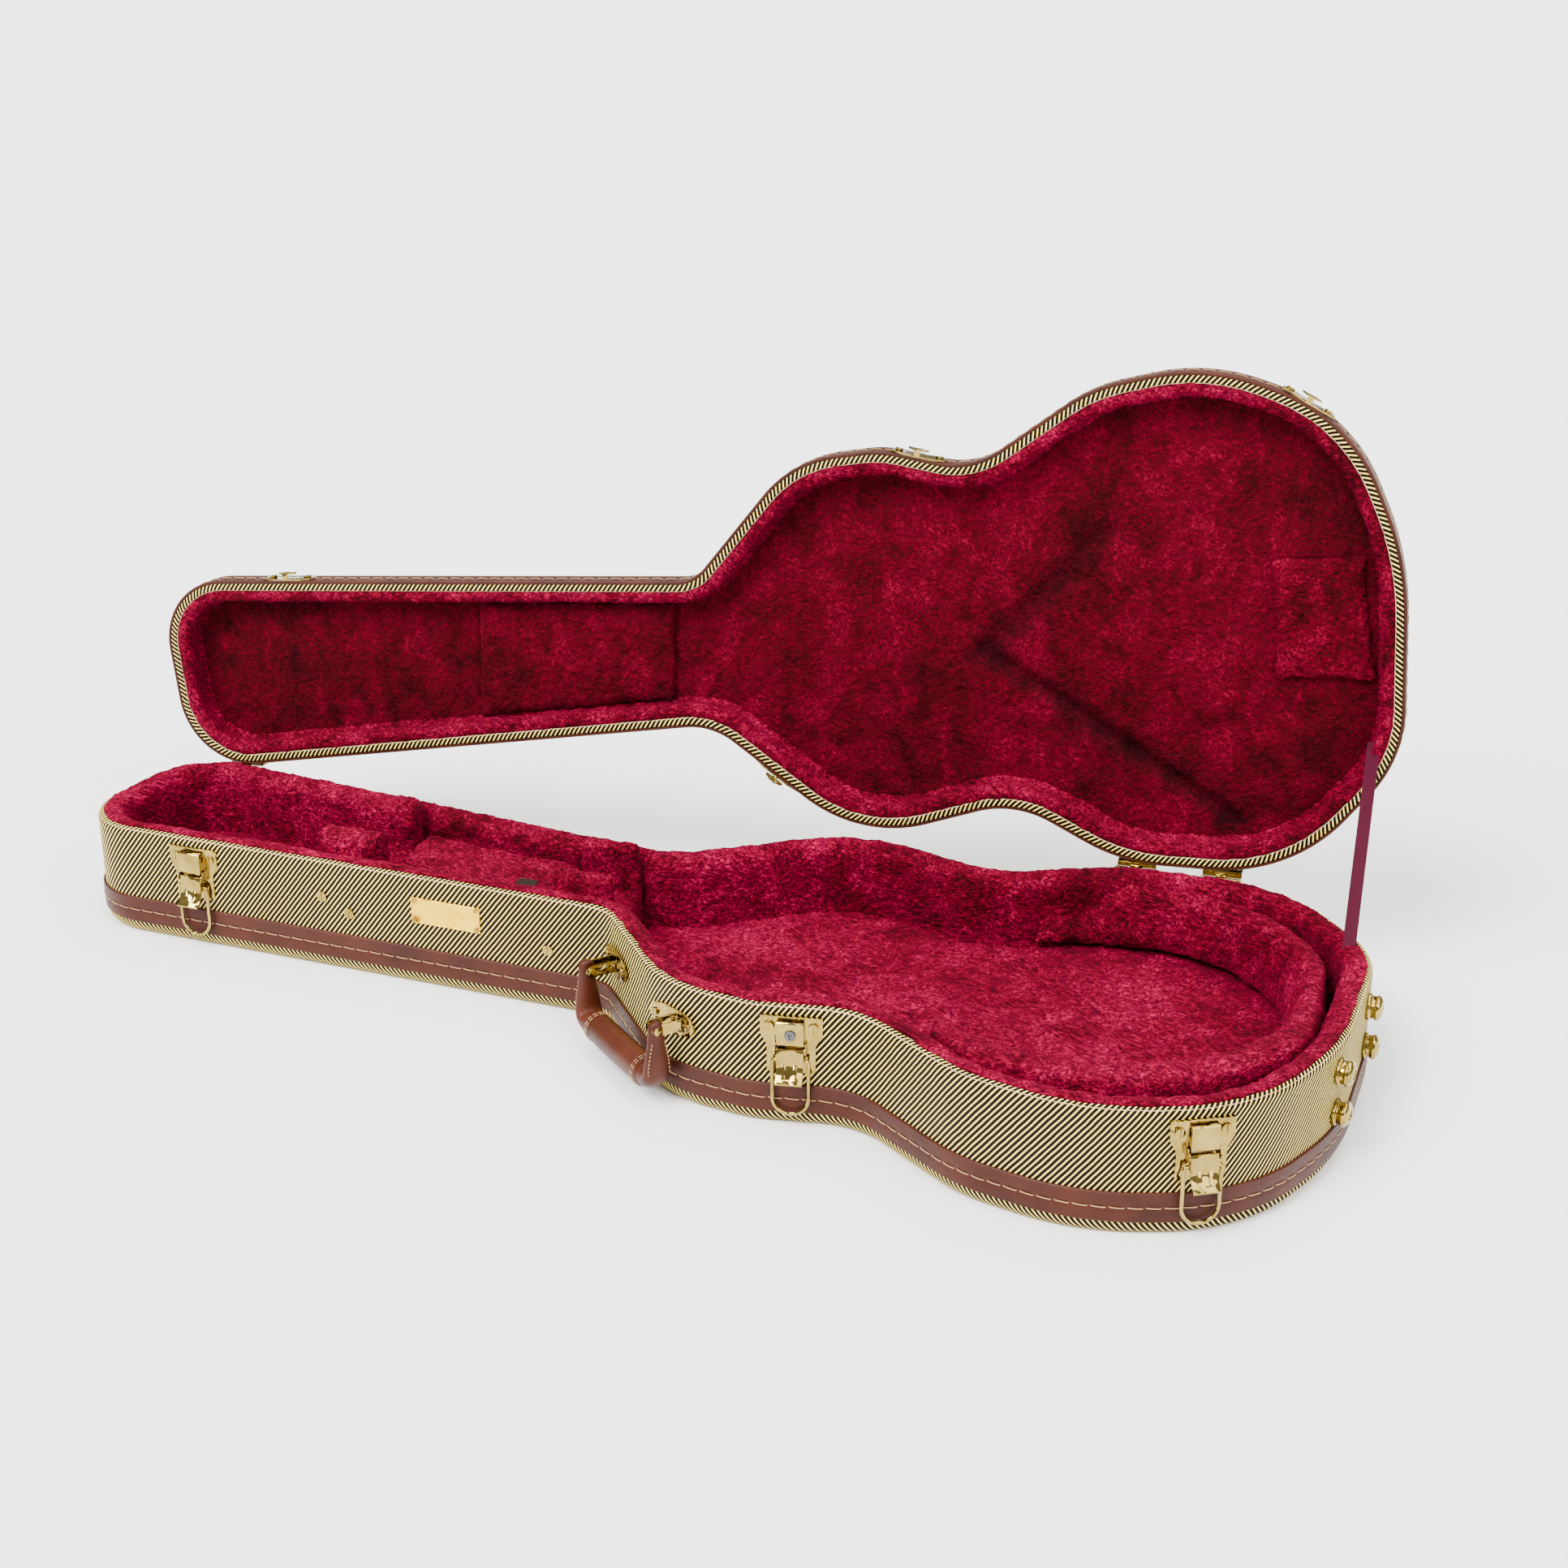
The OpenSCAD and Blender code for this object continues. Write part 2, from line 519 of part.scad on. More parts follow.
// strike: two wings on the band and an upturned hook; the bail's round end sits in the hook
module strike(w) color(brass)
  opened() at_wall(w, band_t) difference() {
    union() {
      flat(0.2, 1.6, [[-23, lid_z + 4], [-12, lid_z + 1], [12, lid_z + 1], [23, lid_z + 4],
        [23, lid_z + 16], [-23, lid_z + 16]]);
      block(0.2, 7, -2.4, 2.4, lid_z + 0.4, lid_z + 1.4);
      flat(5.6, 7, [[-2.4, lid_z + 0.4], [2.4, lid_z + 0.4], [8.5, lid_z + 5], [8.5, lid_z + 7.5],
        [7.5, lid_z + 8.5], [-7.5, lid_z + 8.5], [-8.5, lid_z + 7.5], [-8.5, lid_z + 5]]);
    }
    for (s = [-1, 1]) screw_hole(s*17, lid_z + 11, 7);
  }
module strike1() strike(latches[0]);
module strike2() strike(latches[1]);
module strike3() strike(latches[2]);
module strike4() strike(latches[3]);
module lid_screws() color(brass)
  opened() {
    for (w = latches) at_wall(w, band_t) for (s = [-1, 1]) screw(1.6, s*17, lid_z + 11, 3.4, 8);
    for (h = hinges) at_wall([h[0], h[1], 90]) for (s = [-1, 1])
      screw(band_t + 1.6, s*10, 114, 2.8, 6.4);
  }

// ---- ribbon that stops the lid, drawn taut ----
module lid_stay_strap() color(plush) {
  a = [80, base_height - 10];
  q = [a[0] - hinge_y, lid_z + 10 - hinge_z];
  b = [hinge_y + q[0]*cos(open_deg) + q[1]*sin(open_deg),
    hinge_z - q[0]*sin(open_deg) + q[1]*cos(open_deg)];
  u = unit(b - a);
  v = [-u[1], u[0]]*0.5;
  translate([520, 0, 0]) rotate([90, 0, 90]) linear_extrude(9)
    polygon([a - v, b - v, b + v, a + v]);
}

base_side_wall();
base_side_cloth();
base_bottom_panel();
base_bottom_cloth();
base_trim_band();
base_wall_lining();
base_floor_pads();
base_bout_pad();
neck_rest_head();
neck_rest_body();
accessory_box();
accessory_lid();
accessory_pull_tab();
nameplate();
nameplate_screws();
base_screws();
tail_feet();
tail_feet_screws();
handle_bracket_neck();
handle_bracket_body();
handle_pins();
handle_grip();
handle_tabs();
latch1_plate();
latch2_plate();
latch3_plate();
latch4_plate();
latch_pins();
latch1_lever();
latch2_lever();
latch3_lever();
latch4_lever();
latch1_bail();
latch2_bail();
latch3_bail();
latch4_bail();
lock_plug();
hinge1_base_leaf();
hinge2_base_leaf();
hinge3_base_leaf();
hinge_pins();
hinge_base_screws();
hinge1_lid_leaf();
hinge2_lid_leaf();
hinge3_lid_leaf();
lid_side_wall();
lid_rim_cloth();
lid_top_panel();
lid_top_cloth();
lid_trim_band();
lid_wall_lining();
lid_panel_lining();
lid_neck_pad();
lid_pocket();
strike1();
strike2();
strike3();
strike4();
lid_screws();
lid_stay_strap();
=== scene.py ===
import json
import math

import bmesh
import bpy
import numpy as np
from mathutils import Matrix, Vector

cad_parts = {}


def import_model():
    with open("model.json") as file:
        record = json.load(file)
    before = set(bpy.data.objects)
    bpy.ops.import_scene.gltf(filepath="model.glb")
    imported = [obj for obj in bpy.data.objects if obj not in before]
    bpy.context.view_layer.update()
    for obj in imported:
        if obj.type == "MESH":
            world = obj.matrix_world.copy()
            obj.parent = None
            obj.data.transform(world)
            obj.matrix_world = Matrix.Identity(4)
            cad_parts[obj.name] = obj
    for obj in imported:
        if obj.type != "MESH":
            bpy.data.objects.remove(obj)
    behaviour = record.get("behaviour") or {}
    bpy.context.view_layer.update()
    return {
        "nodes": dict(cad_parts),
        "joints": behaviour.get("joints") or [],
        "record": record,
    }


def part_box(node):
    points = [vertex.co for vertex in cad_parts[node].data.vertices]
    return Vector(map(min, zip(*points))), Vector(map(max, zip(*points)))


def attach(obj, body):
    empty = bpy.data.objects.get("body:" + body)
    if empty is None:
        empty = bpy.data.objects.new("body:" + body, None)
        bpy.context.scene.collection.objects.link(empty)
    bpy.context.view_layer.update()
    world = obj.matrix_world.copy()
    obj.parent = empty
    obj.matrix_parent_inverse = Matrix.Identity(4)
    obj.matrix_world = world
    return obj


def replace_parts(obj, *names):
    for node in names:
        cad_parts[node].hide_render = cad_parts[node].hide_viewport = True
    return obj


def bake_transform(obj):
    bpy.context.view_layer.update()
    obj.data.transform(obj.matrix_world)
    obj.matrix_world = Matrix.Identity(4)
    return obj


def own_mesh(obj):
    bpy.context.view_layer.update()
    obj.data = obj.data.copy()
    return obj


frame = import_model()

# ---- measures, in millimetres unless the frame gives them ----
MM = 0.001
# corners of the rim's inner outline and the radius that rounds each: x, y, r
CORNERS = [
    (-520, 203, 55), (-23, 110, 68), (111, 198, 108), (241, 149, 90),
    (335, 192, 136), (465, 187, 123), (539, 87, 96), (527, -65, 233),
    (476, -169, 128), (371, -200, 149), (287, -177, 114), (194, -105, 77),
    (115, -116, 88), (46, -103, 91), (-38, 6, 43), (-543, 48, 50),
]
WALL = 8
EDGE_R = 9
RIM = 98
LID = 98.4
LID_TOP = 136.4
BASE_BAND = (11.6, 34.6)
LID_BAND = (LID + 0.4, LID + 26)
STITCH_PITCH = 12.5
STITCH = 10.3
BAND_THREAD_R = 0.44
HANDLE_THREAD_R = 0.42
# places on the wall: x, y, outward direction in degrees
LATCHES = [(-424.7, 30.1, -94.8), (145.1, -119.9, -82.1), (449, -182.6, -62.3), (34.6, 157.4, 123.3)]
# the bail's distance from the wall, its pin's height, its wire's radius and its round end's radius
BAIL_X, BAIL_Z, WIRE_R, BAIL_R = 5.6, 57.1, 1.5, 13.4
# the nameplate's middle on the wall, the way it faces and the corners of its border: y, z
PLATE = (-185.7, 10.3, -94.76)
PLATE_CORNERS = [(28.2, 76.5), (-28.2, 76.5), (-28.2, 60.5), (28.2, 60.5)]
# folds in the lid's lining, from and to, in the shut lid's plan
LONG_FOLD = ((205, 38), (420, 160))
SHORT_FOLD = ((205, 38), (300, -70))
FAINT_FOLD = ((330, 110), (470, 60))
DEEPEST_FOLD = 4.6

joints = {j["name"]: j for j in frame["joints"]}
hinge = joints["lid_hinge"]
HINGE = Vector(hinge["pos_m"])
OPEN_DEG = -hinge["range_deg"][0]
# takes a lid piece drawn shut to the open pose
OPENED = (Matrix.Translation(HINGE) @ Matrix.Rotation(math.radians(-OPEN_DEG), 4, "X")
          @ Matrix.Translation(-HINGE))

scene = bpy.context.scene


# ---- camera and light ----
def add_camera():
    data = bpy.data.cameras.new("camera")
    data.lens = 53.92
    data.sensor_width = 36
    cam = bpy.data.objects.new("camera", data)
    cam.location = (0.5684, -1.5726, 0.8807)
    cam.rotation_euler = (math.radians(68.06), 0, math.radians(16.45))
    scene.collection.objects.link(cam)
    scene.camera = cam


def add_lamp(name, azimuth, height, strength, spread):
    """A far soft lamp: the direction it stands in, how high it stands and how wide it is, in degrees."""
    data = bpy.data.lights.new(name, "SUN")
    data.energy = strength
    data.angle = math.radians(spread)
    lamp = bpy.data.objects.new(name, data)
    a, h = math.radians(azimuth), math.radians(height)
    from_there = Vector((math.cos(a) * math.cos(h), math.sin(a) * math.cos(h), math.sin(h)))
    lamp.rotation_euler = (-from_there).to_track_quat("-Z", "Y").to_euler()
    scene.collection.objects.link(lamp)


def add_light():
    world = bpy.data.worlds.new("studio")
    world.use_nodes = True
    sky = world.node_tree.nodes["Background"]
    sky.inputs["Color"].default_value = (1, 1, 1, 1)
    sky.inputs["Strength"].default_value = 0.55
    scene.world = world
    add_lamp("key", -122, 48, 8.0, 34)
    add_lamp("fill", -35, 42, 3.4, 50)
    add_lamp("top", 80, 74, 3.6, 60)


# ---- mesh helpers ----
def link(name, mesh):
    o = bpy.data.objects.new(name, mesh)
    scene.collection.objects.link(o)
    return o


def shade(o, degrees=35):
    mesh = o.data
    mesh.polygons.foreach_set("use_smooth", [True] * len(mesh.polygons))
    mesh.set_sharp_from_angle(angle=math.radians(degrees))
    return o


def coords(mesh):
    co = np.empty(len(mesh.vertices) * 3)
    mesh.vertices.foreach_get("co", co)
    return co.reshape(-1, 3)


def set_coords(mesh, co):
    mesh.vertices.foreach_set("co", co.ravel())
    mesh.update()


def normals(mesh):
    no = np.empty(len(mesh.vertices) * 3)
    mesh.vertices.foreach_get("normal", no)
    return no.reshape(-1, 3)


def face_outwards(mesh):
    bm = bmesh.new()
    bm.from_mesh(mesh)
    bmesh.ops.recalc_face_normals(bm, faces=bm.faces)
    bm.to_mesh(mesh)
    bm.free()


def ring_points(step):
    """The rim's inner outline in metres, evenly spaced, with the outward normal at each point."""
    places = [Vector(c[:2]) for c in CORNERS]
    arcs = []
    for i, (x, y, r) in enumerate(CORNERS):
        back = (places[i - 1] - places[i]).normalized()
        ahead = (places[(i + 1) % len(CORNERS)] - places[i]).normalized()
        half = math.acos(back.dot(ahead)) / 2
        turn = math.copysign(1, back.y * ahead.x - back.x * ahead.y)
        centre = places[i] + (back + ahead).normalized() * r / math.sin(half)
        first = places[i] + back * r / math.tan(half) - centre
        a0 = math.atan2(first.y, first.x)
        sweep_a = turn * (math.pi - 2 * half)
        count = max(3, math.ceil(abs(sweep_a) * r / step))
        arc = []
        for k in range(count + 1):
            a = a0 + sweep_a * k / count
            spoke = Vector((math.cos(a), math.sin(a)))
            arc.append((centre + r * spoke, -turn * spoke))
        arcs.append(arc)
    points = []
    for i, arc in enumerate(arcs):
        points += arc
        start, end = arc[-1], arcs[(i + 1) % len(arcs)][0]
        count = int((end[0] - start[0]).length / step)
        points += [(start[0].lerp(end[0], k / count), start[1]) for k in range(1, count)]
    place = np.array([p for p, _ in points]) * MM
    out = np.array([n for _, n in points])
    return place, out


def rounded(profile, spacing):
    """A closed profile of (d, z), smoothed into a curve and cut at even spacing."""
    n = len(profile)
    p = np.array(profile, float)
    fine = []
    for i in range(n):
        a, b, c, d = p[i - 1], p[i], p[(i + 1) % n], p[(i + 2) % n]
        for t in np.linspace(0, 1, 12, endpoint=False):
            fine.append(0.5 * (2 * b + (c - a) * t + (2 * a - 5 * b + 4 * c - d) * t * t
                               + (3 * b - 3 * c + d - a) * t ** 3))
    fine = np.array(fine + [fine[0]])
    run = np.concatenate([[0], np.cumsum(np.linalg.norm(np.diff(fine, axis=0), axis=1))])
    at = np.linspace(0, run[-1], int(run[-1] / spacing) + 1)[:-1]
    return [(np.interp(s, run, fine[:, 0]), np.interp(s, run, fine[:, 1])) for s in at]


def arc(d, z, r, a0, a1, count=6):
    angles = [math.radians(a0 + (a1 - a0) * k / count) for k in range(count + 1)]
    return [(d + r * math.cos(a), z + r * math.sin(a)) for a in angles]


def sweep(name, profile, step=4, closed=True, flip_below=None):
    """Carries a profile of (d, z), in millimetres, round the outline. An open profile is capped at both ends.
    The UV map holds the distance round the wall and the distance down the profile, in metres. Below
    flip_below the cloth's outer side has its stripes leaning the other way, as a strip of its own would."""
    place, out = ring_points(step)
    n, m = len(place), len(profile)
    outer = place + out * WALL * MM
    gaps = np.linalg.norm(np.roll(outer, -1, 0) - outer, axis=1)
    run = np.concatenate([[0], np.cumsum(gaps)])
    rows = [np.column_stack([place + out * d * MM, np.full(n, z * MM)]) for d, z in profile]
    down = [0]
    for (d0, z0), (d1, z1) in zip(profile, profile[1:] + profile[:1]):
        down.append(down[-1] + math.hypot(d1 - d0, z1 - z0) * MM)
    side = [-v if flip_below is not None and z < flip_below and d > 0 else v
            for v, (d, z) in zip(down, profile + profile[:1])]
    faces, uvs = [], []
    for j in range(m if closed else m - 1):
        k = (j + 1) % m
        for i in range(n):
            e = (i + 1) % n
            faces.append((j * n + i, j * n + e, k * n + e, k * n + i))
            uvs += [(run[i], side[j]), (run[i + 1], side[j])]
            uvs += [(run[i + 1], side[j + 1]), (run[i], side[j + 1])]
    if not closed:
        for j in (0, m - 1):
            faces.append(tuple(range(j * n, j * n + n)))
            uvs += [tuple(p) for p in rows[j][:, :2]]
    mesh = bpy.data.meshes.new(name)
    mesh.from_pydata(np.concatenate(rows).tolist(), [], faces)
    layer = mesh.uv_layers.new(name="cloth")
    layer.data.foreach_set("uv", np.array(uvs).ravel())
    face_outwards(mesh)
    return shade(link(name, mesh))


def tube(bm, path, radius, sides=8, across=None):
    """Adds a capped tube along path. radius is one number or (width, thickness) at each point."""
    path = [Vector(p) for p in path]
    loops = []
    side = None
    for i, p in enumerate(path):
        along = (path[min(i + 1, len(path) - 1)] - path[max(i - 1, 0)]).normalized()
        if side is None:
            side = across if across is not None else along.orthogonal()
        side = (side - along * side.dot(along)).normalized()
        other = along.cross(side)
        w, t = radius[i] if isinstance(radius, list) else (radius, radius)
        loops.append([bm.verts.new(p + side * w * math.cos(a) + other * t * math.sin(a))
                      for a in (2 * math.pi * k / sides for k in range(sides))])
    for a, b in zip(loops, loops[1:]):
        for k in range(sides):
            e = (k + 1) % sides
            bm.faces.new((a[k], a[e], b[e], b[k]))
    bm.faces.new(loops[0][::-1])
    bm.faces.new(loops[-1])


def finish_mesh(name, bm, degrees=35):
    bmesh.ops.recalc_face_normals(bm, faces=bm.faces)
    mesh = bpy.data.meshes.new(name)
    bm.to_mesh(mesh)
    bm.free()
    return shade(link(name, mesh), degrees)


def apply_modifiers(o):
    dg = bpy.context.evaluated_depsgraph_get()
    mesh = bpy.data.meshes.new_from_object(o.evaluated_get(dg))
    o.modifiers.clear()
    o.data = mesh
    return o


def clothe(o, material, slot, body, *nodes):
    """Gives a piece its material, its body and the CAD nodes it stands for. slot is not used."""
    o.data.materials.clear()
    o.data.materials.append(material)
    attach(o, body)
    if nodes:
        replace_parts(o, *nodes)
    return o


# ---- materials ----
def new_material(name):
    m = bpy.data.materials.new(name)
    m.use_nodes = True
    tree = m.node_tree
    tree.nodes.clear()
    out = tree.nodes.new("ShaderNodeOutputMaterial")
    shader = tree.nodes.new("ShaderNodeBsdfPrincipled")
    tree.links.new(shader.outputs[0], out.inputs["Surface"])
    return m, tree, shader


def put(tree, kind, inputs=None, **settings):
    """Adds a node. inputs holds a value or another node's output for each named or numbered socket."""
    n = tree.nodes.new("ShaderNode" + kind)
    for key, value in settings.items():
        setattr(n, key, value)
    for key, value in (inputs or {}).items():
        if isinstance(value, bpy.types.NodeSocket):
            tree.links.new(value, n.inputs[key])
        else:
            n.inputs[key].default_value = value
    return n


def calc(tree, operation, a, b=0.0):
    return put(tree, "Math", {0: a, 1: b}, operation=operation).outputs[0]


def ramp(tree, value, stops):
    n = put(tree, "ValToRGB", {"Fac": value})
    elements = n.color_ramp.elements
    while len(elements) < len(stops):
        elements.new(0.5)
    for e, (at, colour) in zip(elements, stops):
        e.position = at
        e.color = (*colour, 1)
    return n.outputs["Color"]


def grey(v):
    return (v, v, v)


def place_of(tree, scale=(1, 1, 1), turn=(0, 0, 0)):
    where = put(tree, "TexCoord").outputs["Object"]
    turned = put(tree, "Mapping", {"Vector": where, "Rotation": [math.radians(t) for t in turn]}).outputs[0]
    return put(tree, "Mapping", {"Vector": turned, "Scale": scale}).outputs[0]


def noise(tree, scale, detail, stretch=(1, 1, 1), turn=(0, 0, 0), roughness=0.5, distortion=0.0):
    """Cloudy noise in the object's own space. scale is about how many spots lie in a metre."""
    inputs = {"Vector": place_of(tree, stretch, turn), "Scale": scale, "Detail": detail,
              "Roughness": roughness, "Distortion": distortion}
    return put(tree, "TexNoise", inputs).outputs["Fac"]


def mix(tree, kind, fac, a, b):
    n = put(tree, "MixRGB", {"Fac": fac, "Color1": a, "Color2": b}, blend_type=kind)
    return n.outputs[0]


def bump(tree, shader, height, strength, distance):
    n = put(tree, "Bump", {"Height": height, "Strength": strength, "Distance": distance})
    tree.links.new(n.outputs[0], shader.inputs["Normal"])


def tweed():
    """Diagonal striped cloth: pale gold yarn between dark yarns, crossed by finer threads."""
    m, tree, shader = new_material("tweed")
    uv = put(tree, "UVMap", uv_map="cloth").outputs[0]
    xyz = put(tree, "SeparateXYZ", {0: uv})
    u, v = xyz.outputs["X"], xyz.outputs["Y"]
    lean = math.radians(52)
    pitch = 3.35 * MM
    across = calc(tree, "SUBTRACT", calc(tree, "MULTIPLY", u, math.sin(lean) / pitch),
                  calc(tree, "MULTIPLY", v, math.cos(lean) / pitch))
    along = calc(tree, "ADD", calc(tree, "MULTIPLY", u, math.cos(lean) / pitch),
                 calc(tree, "MULTIPLY", v, math.sin(lean) / pitch))
    across = calc(tree, "ADD", across, calc(tree, "MULTIPLY", noise(tree, 90.0, 1.0), 0.22))
    f = calc(tree, "FRACT", across)
    # Each gold stripe is painted paler along its middle and darker towards its edges: a painted highlight on
    # the round of the yarn. The dark stripes are the cloth's own colour.
    colour = ramp(tree, f, [(0.0, (0.004, 0.0015, 0.0003)), (0.03, (0.30, 0.13, 0.005)),
                            (0.09, (0.94, 0.68, 0.10)), (0.22, (1.0, 0.92, 0.33)),
                            (0.34, (0.94, 0.68, 0.10)), (0.40, (0.26, 0.10, 0.004)),
                            (0.44, (0.002, 0.001, 0.0003)), (0.99, (0.002, 0.001, 0.0003))])
    threads = calc(tree, "FRACT", calc(tree, "MULTIPLY", along, 3.6))
    threads = ramp(tree, threads, [(0.0, grey(0.8)), (0.3, grey(1)), (0.7, grey(1)), (1.0, grey(0.8))])
    colour = mix(tree, "MULTIPLY", 0.75, colour, threads)
    age = ramp(tree, noise(tree, 9.0, 4.0), [(0.3, (0.95, 0.91, 0.80)), (0.7, (1, 1, 1))])
    colour = mix(tree, "MULTIPLY", 1.0, colour, age)
    tree.links.new(colour, shader.inputs["Base Color"])
    yarn = ramp(tree, f, [(0.0, grey(0.1)), (0.22, grey(1)), (0.44, grey(0.15)), (0.72, grey(0.3)),
                          (1.0, grey(0.1))])
    height = mix(tree, "MULTIPLY", 0.6, yarn, threads)
    bump(tree, shader, height, 0.4, 0.0005)
    shader.inputs["Roughness"].default_value = 0.6
    shader.inputs["Specular IOR Level"].default_value = 0.08
    return m


def leather(name, dark, light, rough, grain):
    """Smooth brown leather: fine pores and a slight mottle."""
    m, tree, shader = new_material(name)
    colour = ramp(tree, noise(tree, 28.0, 5.0), [(0.3, dark), (0.7, light)])
    tree.links.new(colour, shader.inputs["Base Color"])
    pores = put(tree, "TexVoronoi", {"Vector": place_of(tree), "Scale": grain}, feature="F1")
    folds = noise(tree, grain / 3, 3.0)
    height = calc(tree, "ADD", calc(tree, "MULTIPLY", pores.outputs["Distance"], 0.6), folds)
    bump(tree, shader, height, 0.35, 0.0005)
    gloss = ramp(tree, folds, [(0.3, grey(rough - 0.06)), (0.7, grey(rough + 0.1))])
    tree.links.new(gloss, shader.inputs["Roughness"])
    shader.inputs["Specular IOR Level"].default_value = 0.16
    return m


def fold_shade(tree, a, b, width, least):
    """Darkens a fold of the lid's lining from a to b, in the shut lid's plan, over width millimetres."""
    start, end = (OPENED @ (Vector((x, y, LID_TOP - 15)) * MM) for x, y in (a, b))
    along = end - start
    rel = put(tree, "VectorMath", {0: place_of(tree), 1: start}, operation="SUBTRACT").outputs[0]
    unit = along / along.length_squared
    share = put(tree, "VectorMath", {0: rel, 1: unit}, operation="DOT_PRODUCT").outputs["Value"]
    share = put(tree, "Clamp", {"Value": share}).outputs[0]
    foot = put(tree, "VectorMath", {0: along, "Scale": share}, operation="SCALE").outputs[0]
    gap = put(tree, "VectorMath", {0: rel, 1: foot}, operation="SUBTRACT").outputs[0]
    far = put(tree, "VectorMath", {0: gap}, operation="LENGTH").outputs["Value"]
    far = calc(tree, "ADD", far, calc(tree, "MULTIPLY", noise(tree, 60.0, 2.0), 12 * MM))
    limits = {"Value": far, "From Min": 6 * MM, "From Max": (6 + width) * MM, "To Min": least, "To Max": 1.0}
    return put(tree, "MapRange", limits, interpolation_type="SMOOTHSTEP").outputs[0]


def plush(name, deep, mid, bright, streaks, folds=()):
    """Long crushed pile: patches lie different ways, so they take the light differently."""
    m, tree, shader = new_material(name)
    patch = noise(tree, 38.0, 3.5, (1, 1, 0.7), roughness=0.6, distortion=0.7)
    blotch = noise(tree, 9.0, 3.0)
    one_way = noise(tree, 470.0, 3.0, (0.24, 1, 1), (0, 12, 32), distortion=0.8)
    other_way = noise(tree, 470.0, 3.0, (0.24, 1, 1), (0, -50, -48), distortion=0.8)
    tuft = noise(tree, 210.0, 2.0, distortion=0.4)
    which = ramp(tree, patch, [(0.45, grey(0)), (0.56, grey(1))])
    pile = mix(tree, "MIX", which, one_way, other_way)
    shape = calc(tree, "ADD", calc(tree, "MULTIPLY", patch, 0.6), calc(tree, "MULTIPLY", blotch, 0.4))
    colour = ramp(tree, shape, [(0.35, deep), (0.49, mid), (0.64, bright)])
    strands = ramp(tree, pile, [(0.32, grey(0.12)), (0.50, grey(0.85)), (0.66, grey(2.3))])
    colour = mix(tree, "MULTIPLY", streaks, colour, strands)
    for a, b, width, least in folds:
        colour = mix(tree, "MULTIPLY", 1.0, colour, fold_shade(tree, a, b, width, least))
    tufts = ramp(tree, tuft, [(0.32, grey(0.62)), (0.52, grey(1)), (0.72, grey(1.3))])
    colour = mix(tree, "MULTIPLY", 0.8 * streaks, colour, tufts)
    tree.links.new(colour, shader.inputs["Base Color"])
    height = calc(tree, "ADD", pile, calc(tree, "MULTIPLY", tuft, 1.5))
    bump(tree, shader, height, 0.95 * streaks, 0.0024)
    shader.inputs["Roughness"].default_value = 0.8
    shader.inputs["Specular IOR Level"].default_value = 0.04
    shader.inputs["Sheen Weight"].default_value = 0.12
    shader.inputs["Sheen Roughness"].default_value = 0.35
    shader.inputs["Sheen Tint"].default_value = (0.95, 0.03, 0.16, 1)
    return m


def brass(name, dark, light, dull, sharp):
    """Gold-plated steel with faint handling marks."""
    m, tree, shader = new_material(name)
    colour = ramp(tree, noise(tree, 60.0, 3.0), [(0.3, dark), (0.7, light)])
    tree.links.new(colour, shader.inputs["Base Color"])
    marks = noise(tree, 700.0, 4.0, (1, 1, 0.25))
    gloss = ramp(tree, marks, [(0.35, grey(sharp)), (0.75, grey(dull))])
    tree.links.new(gloss, shader.inputs["Roughness"])
    waves = calc(tree, "MULTIPLY", noise(tree, 85.0, 1.0), 3.0)
    height = calc(tree, "ADD", waves, calc(tree, "MULTIPLY", marks, 0.03))
    bump(tree, shader, height, 0.8, 0.0012)
    shader.inputs["Metallic"].default_value = 1
    return m


def steel():
    m, tree, shader = new_material("lock_steel")
    marks = noise(tree, 900.0, 3.0)
    tree.links.new(ramp(tree, marks, [(0.3, grey(0.07)), (0.7, grey(0.13))]), shader.inputs["Base Color"])
    tree.links.new(ramp(tree, marks, [(0.3, grey(0.12)), (0.7, grey(0.28))]), shader.inputs["Roughness"])
    shader.inputs["Metallic"].default_value = 1
    return m


def woven(name, dark, light, count):
    """Thread, ribbon or tape: fine ribs across the piece."""
    m, tree, shader = new_material(name)
    rib = put(tree, "TexWave", {"Vector": place_of(tree), "Scale": count, "Distortion": 1.5, "Detail": 2.0},
              wave_type="BANDS", bands_direction="DIAGONAL").outputs["Fac"]
    tree.links.new(ramp(tree, rib, [(0.1, dark), (0.8, light)]), shader.inputs["Base Color"])
    bump(tree, shader, rib, 0.5, 0.0002)
    shader.inputs["Roughness"].default_value = 0.6
    shader.inputs["Specular IOR Level"].default_value = 0.1
    return m


def plywood():
    m, tree, shader = new_material("plywood")
    grain = put(tree, "TexWave", {"Vector": place_of(tree, (1, 1, 6)), "Scale": 40.0, "Distortion": 6.0,
                                  "Detail": 3.0}).outputs["Fac"]
    tree.links.new(ramp(tree, grain, [(0.2, (0.42, 0.28, 0.15)), (0.8, (0.62, 0.45, 0.27))]),
                   shader.inputs["Base Color"])
    bump(tree, shader, grain, 0.3, 0.0003)
    shader.inputs["Roughness"].default_value = 0.7
    return m


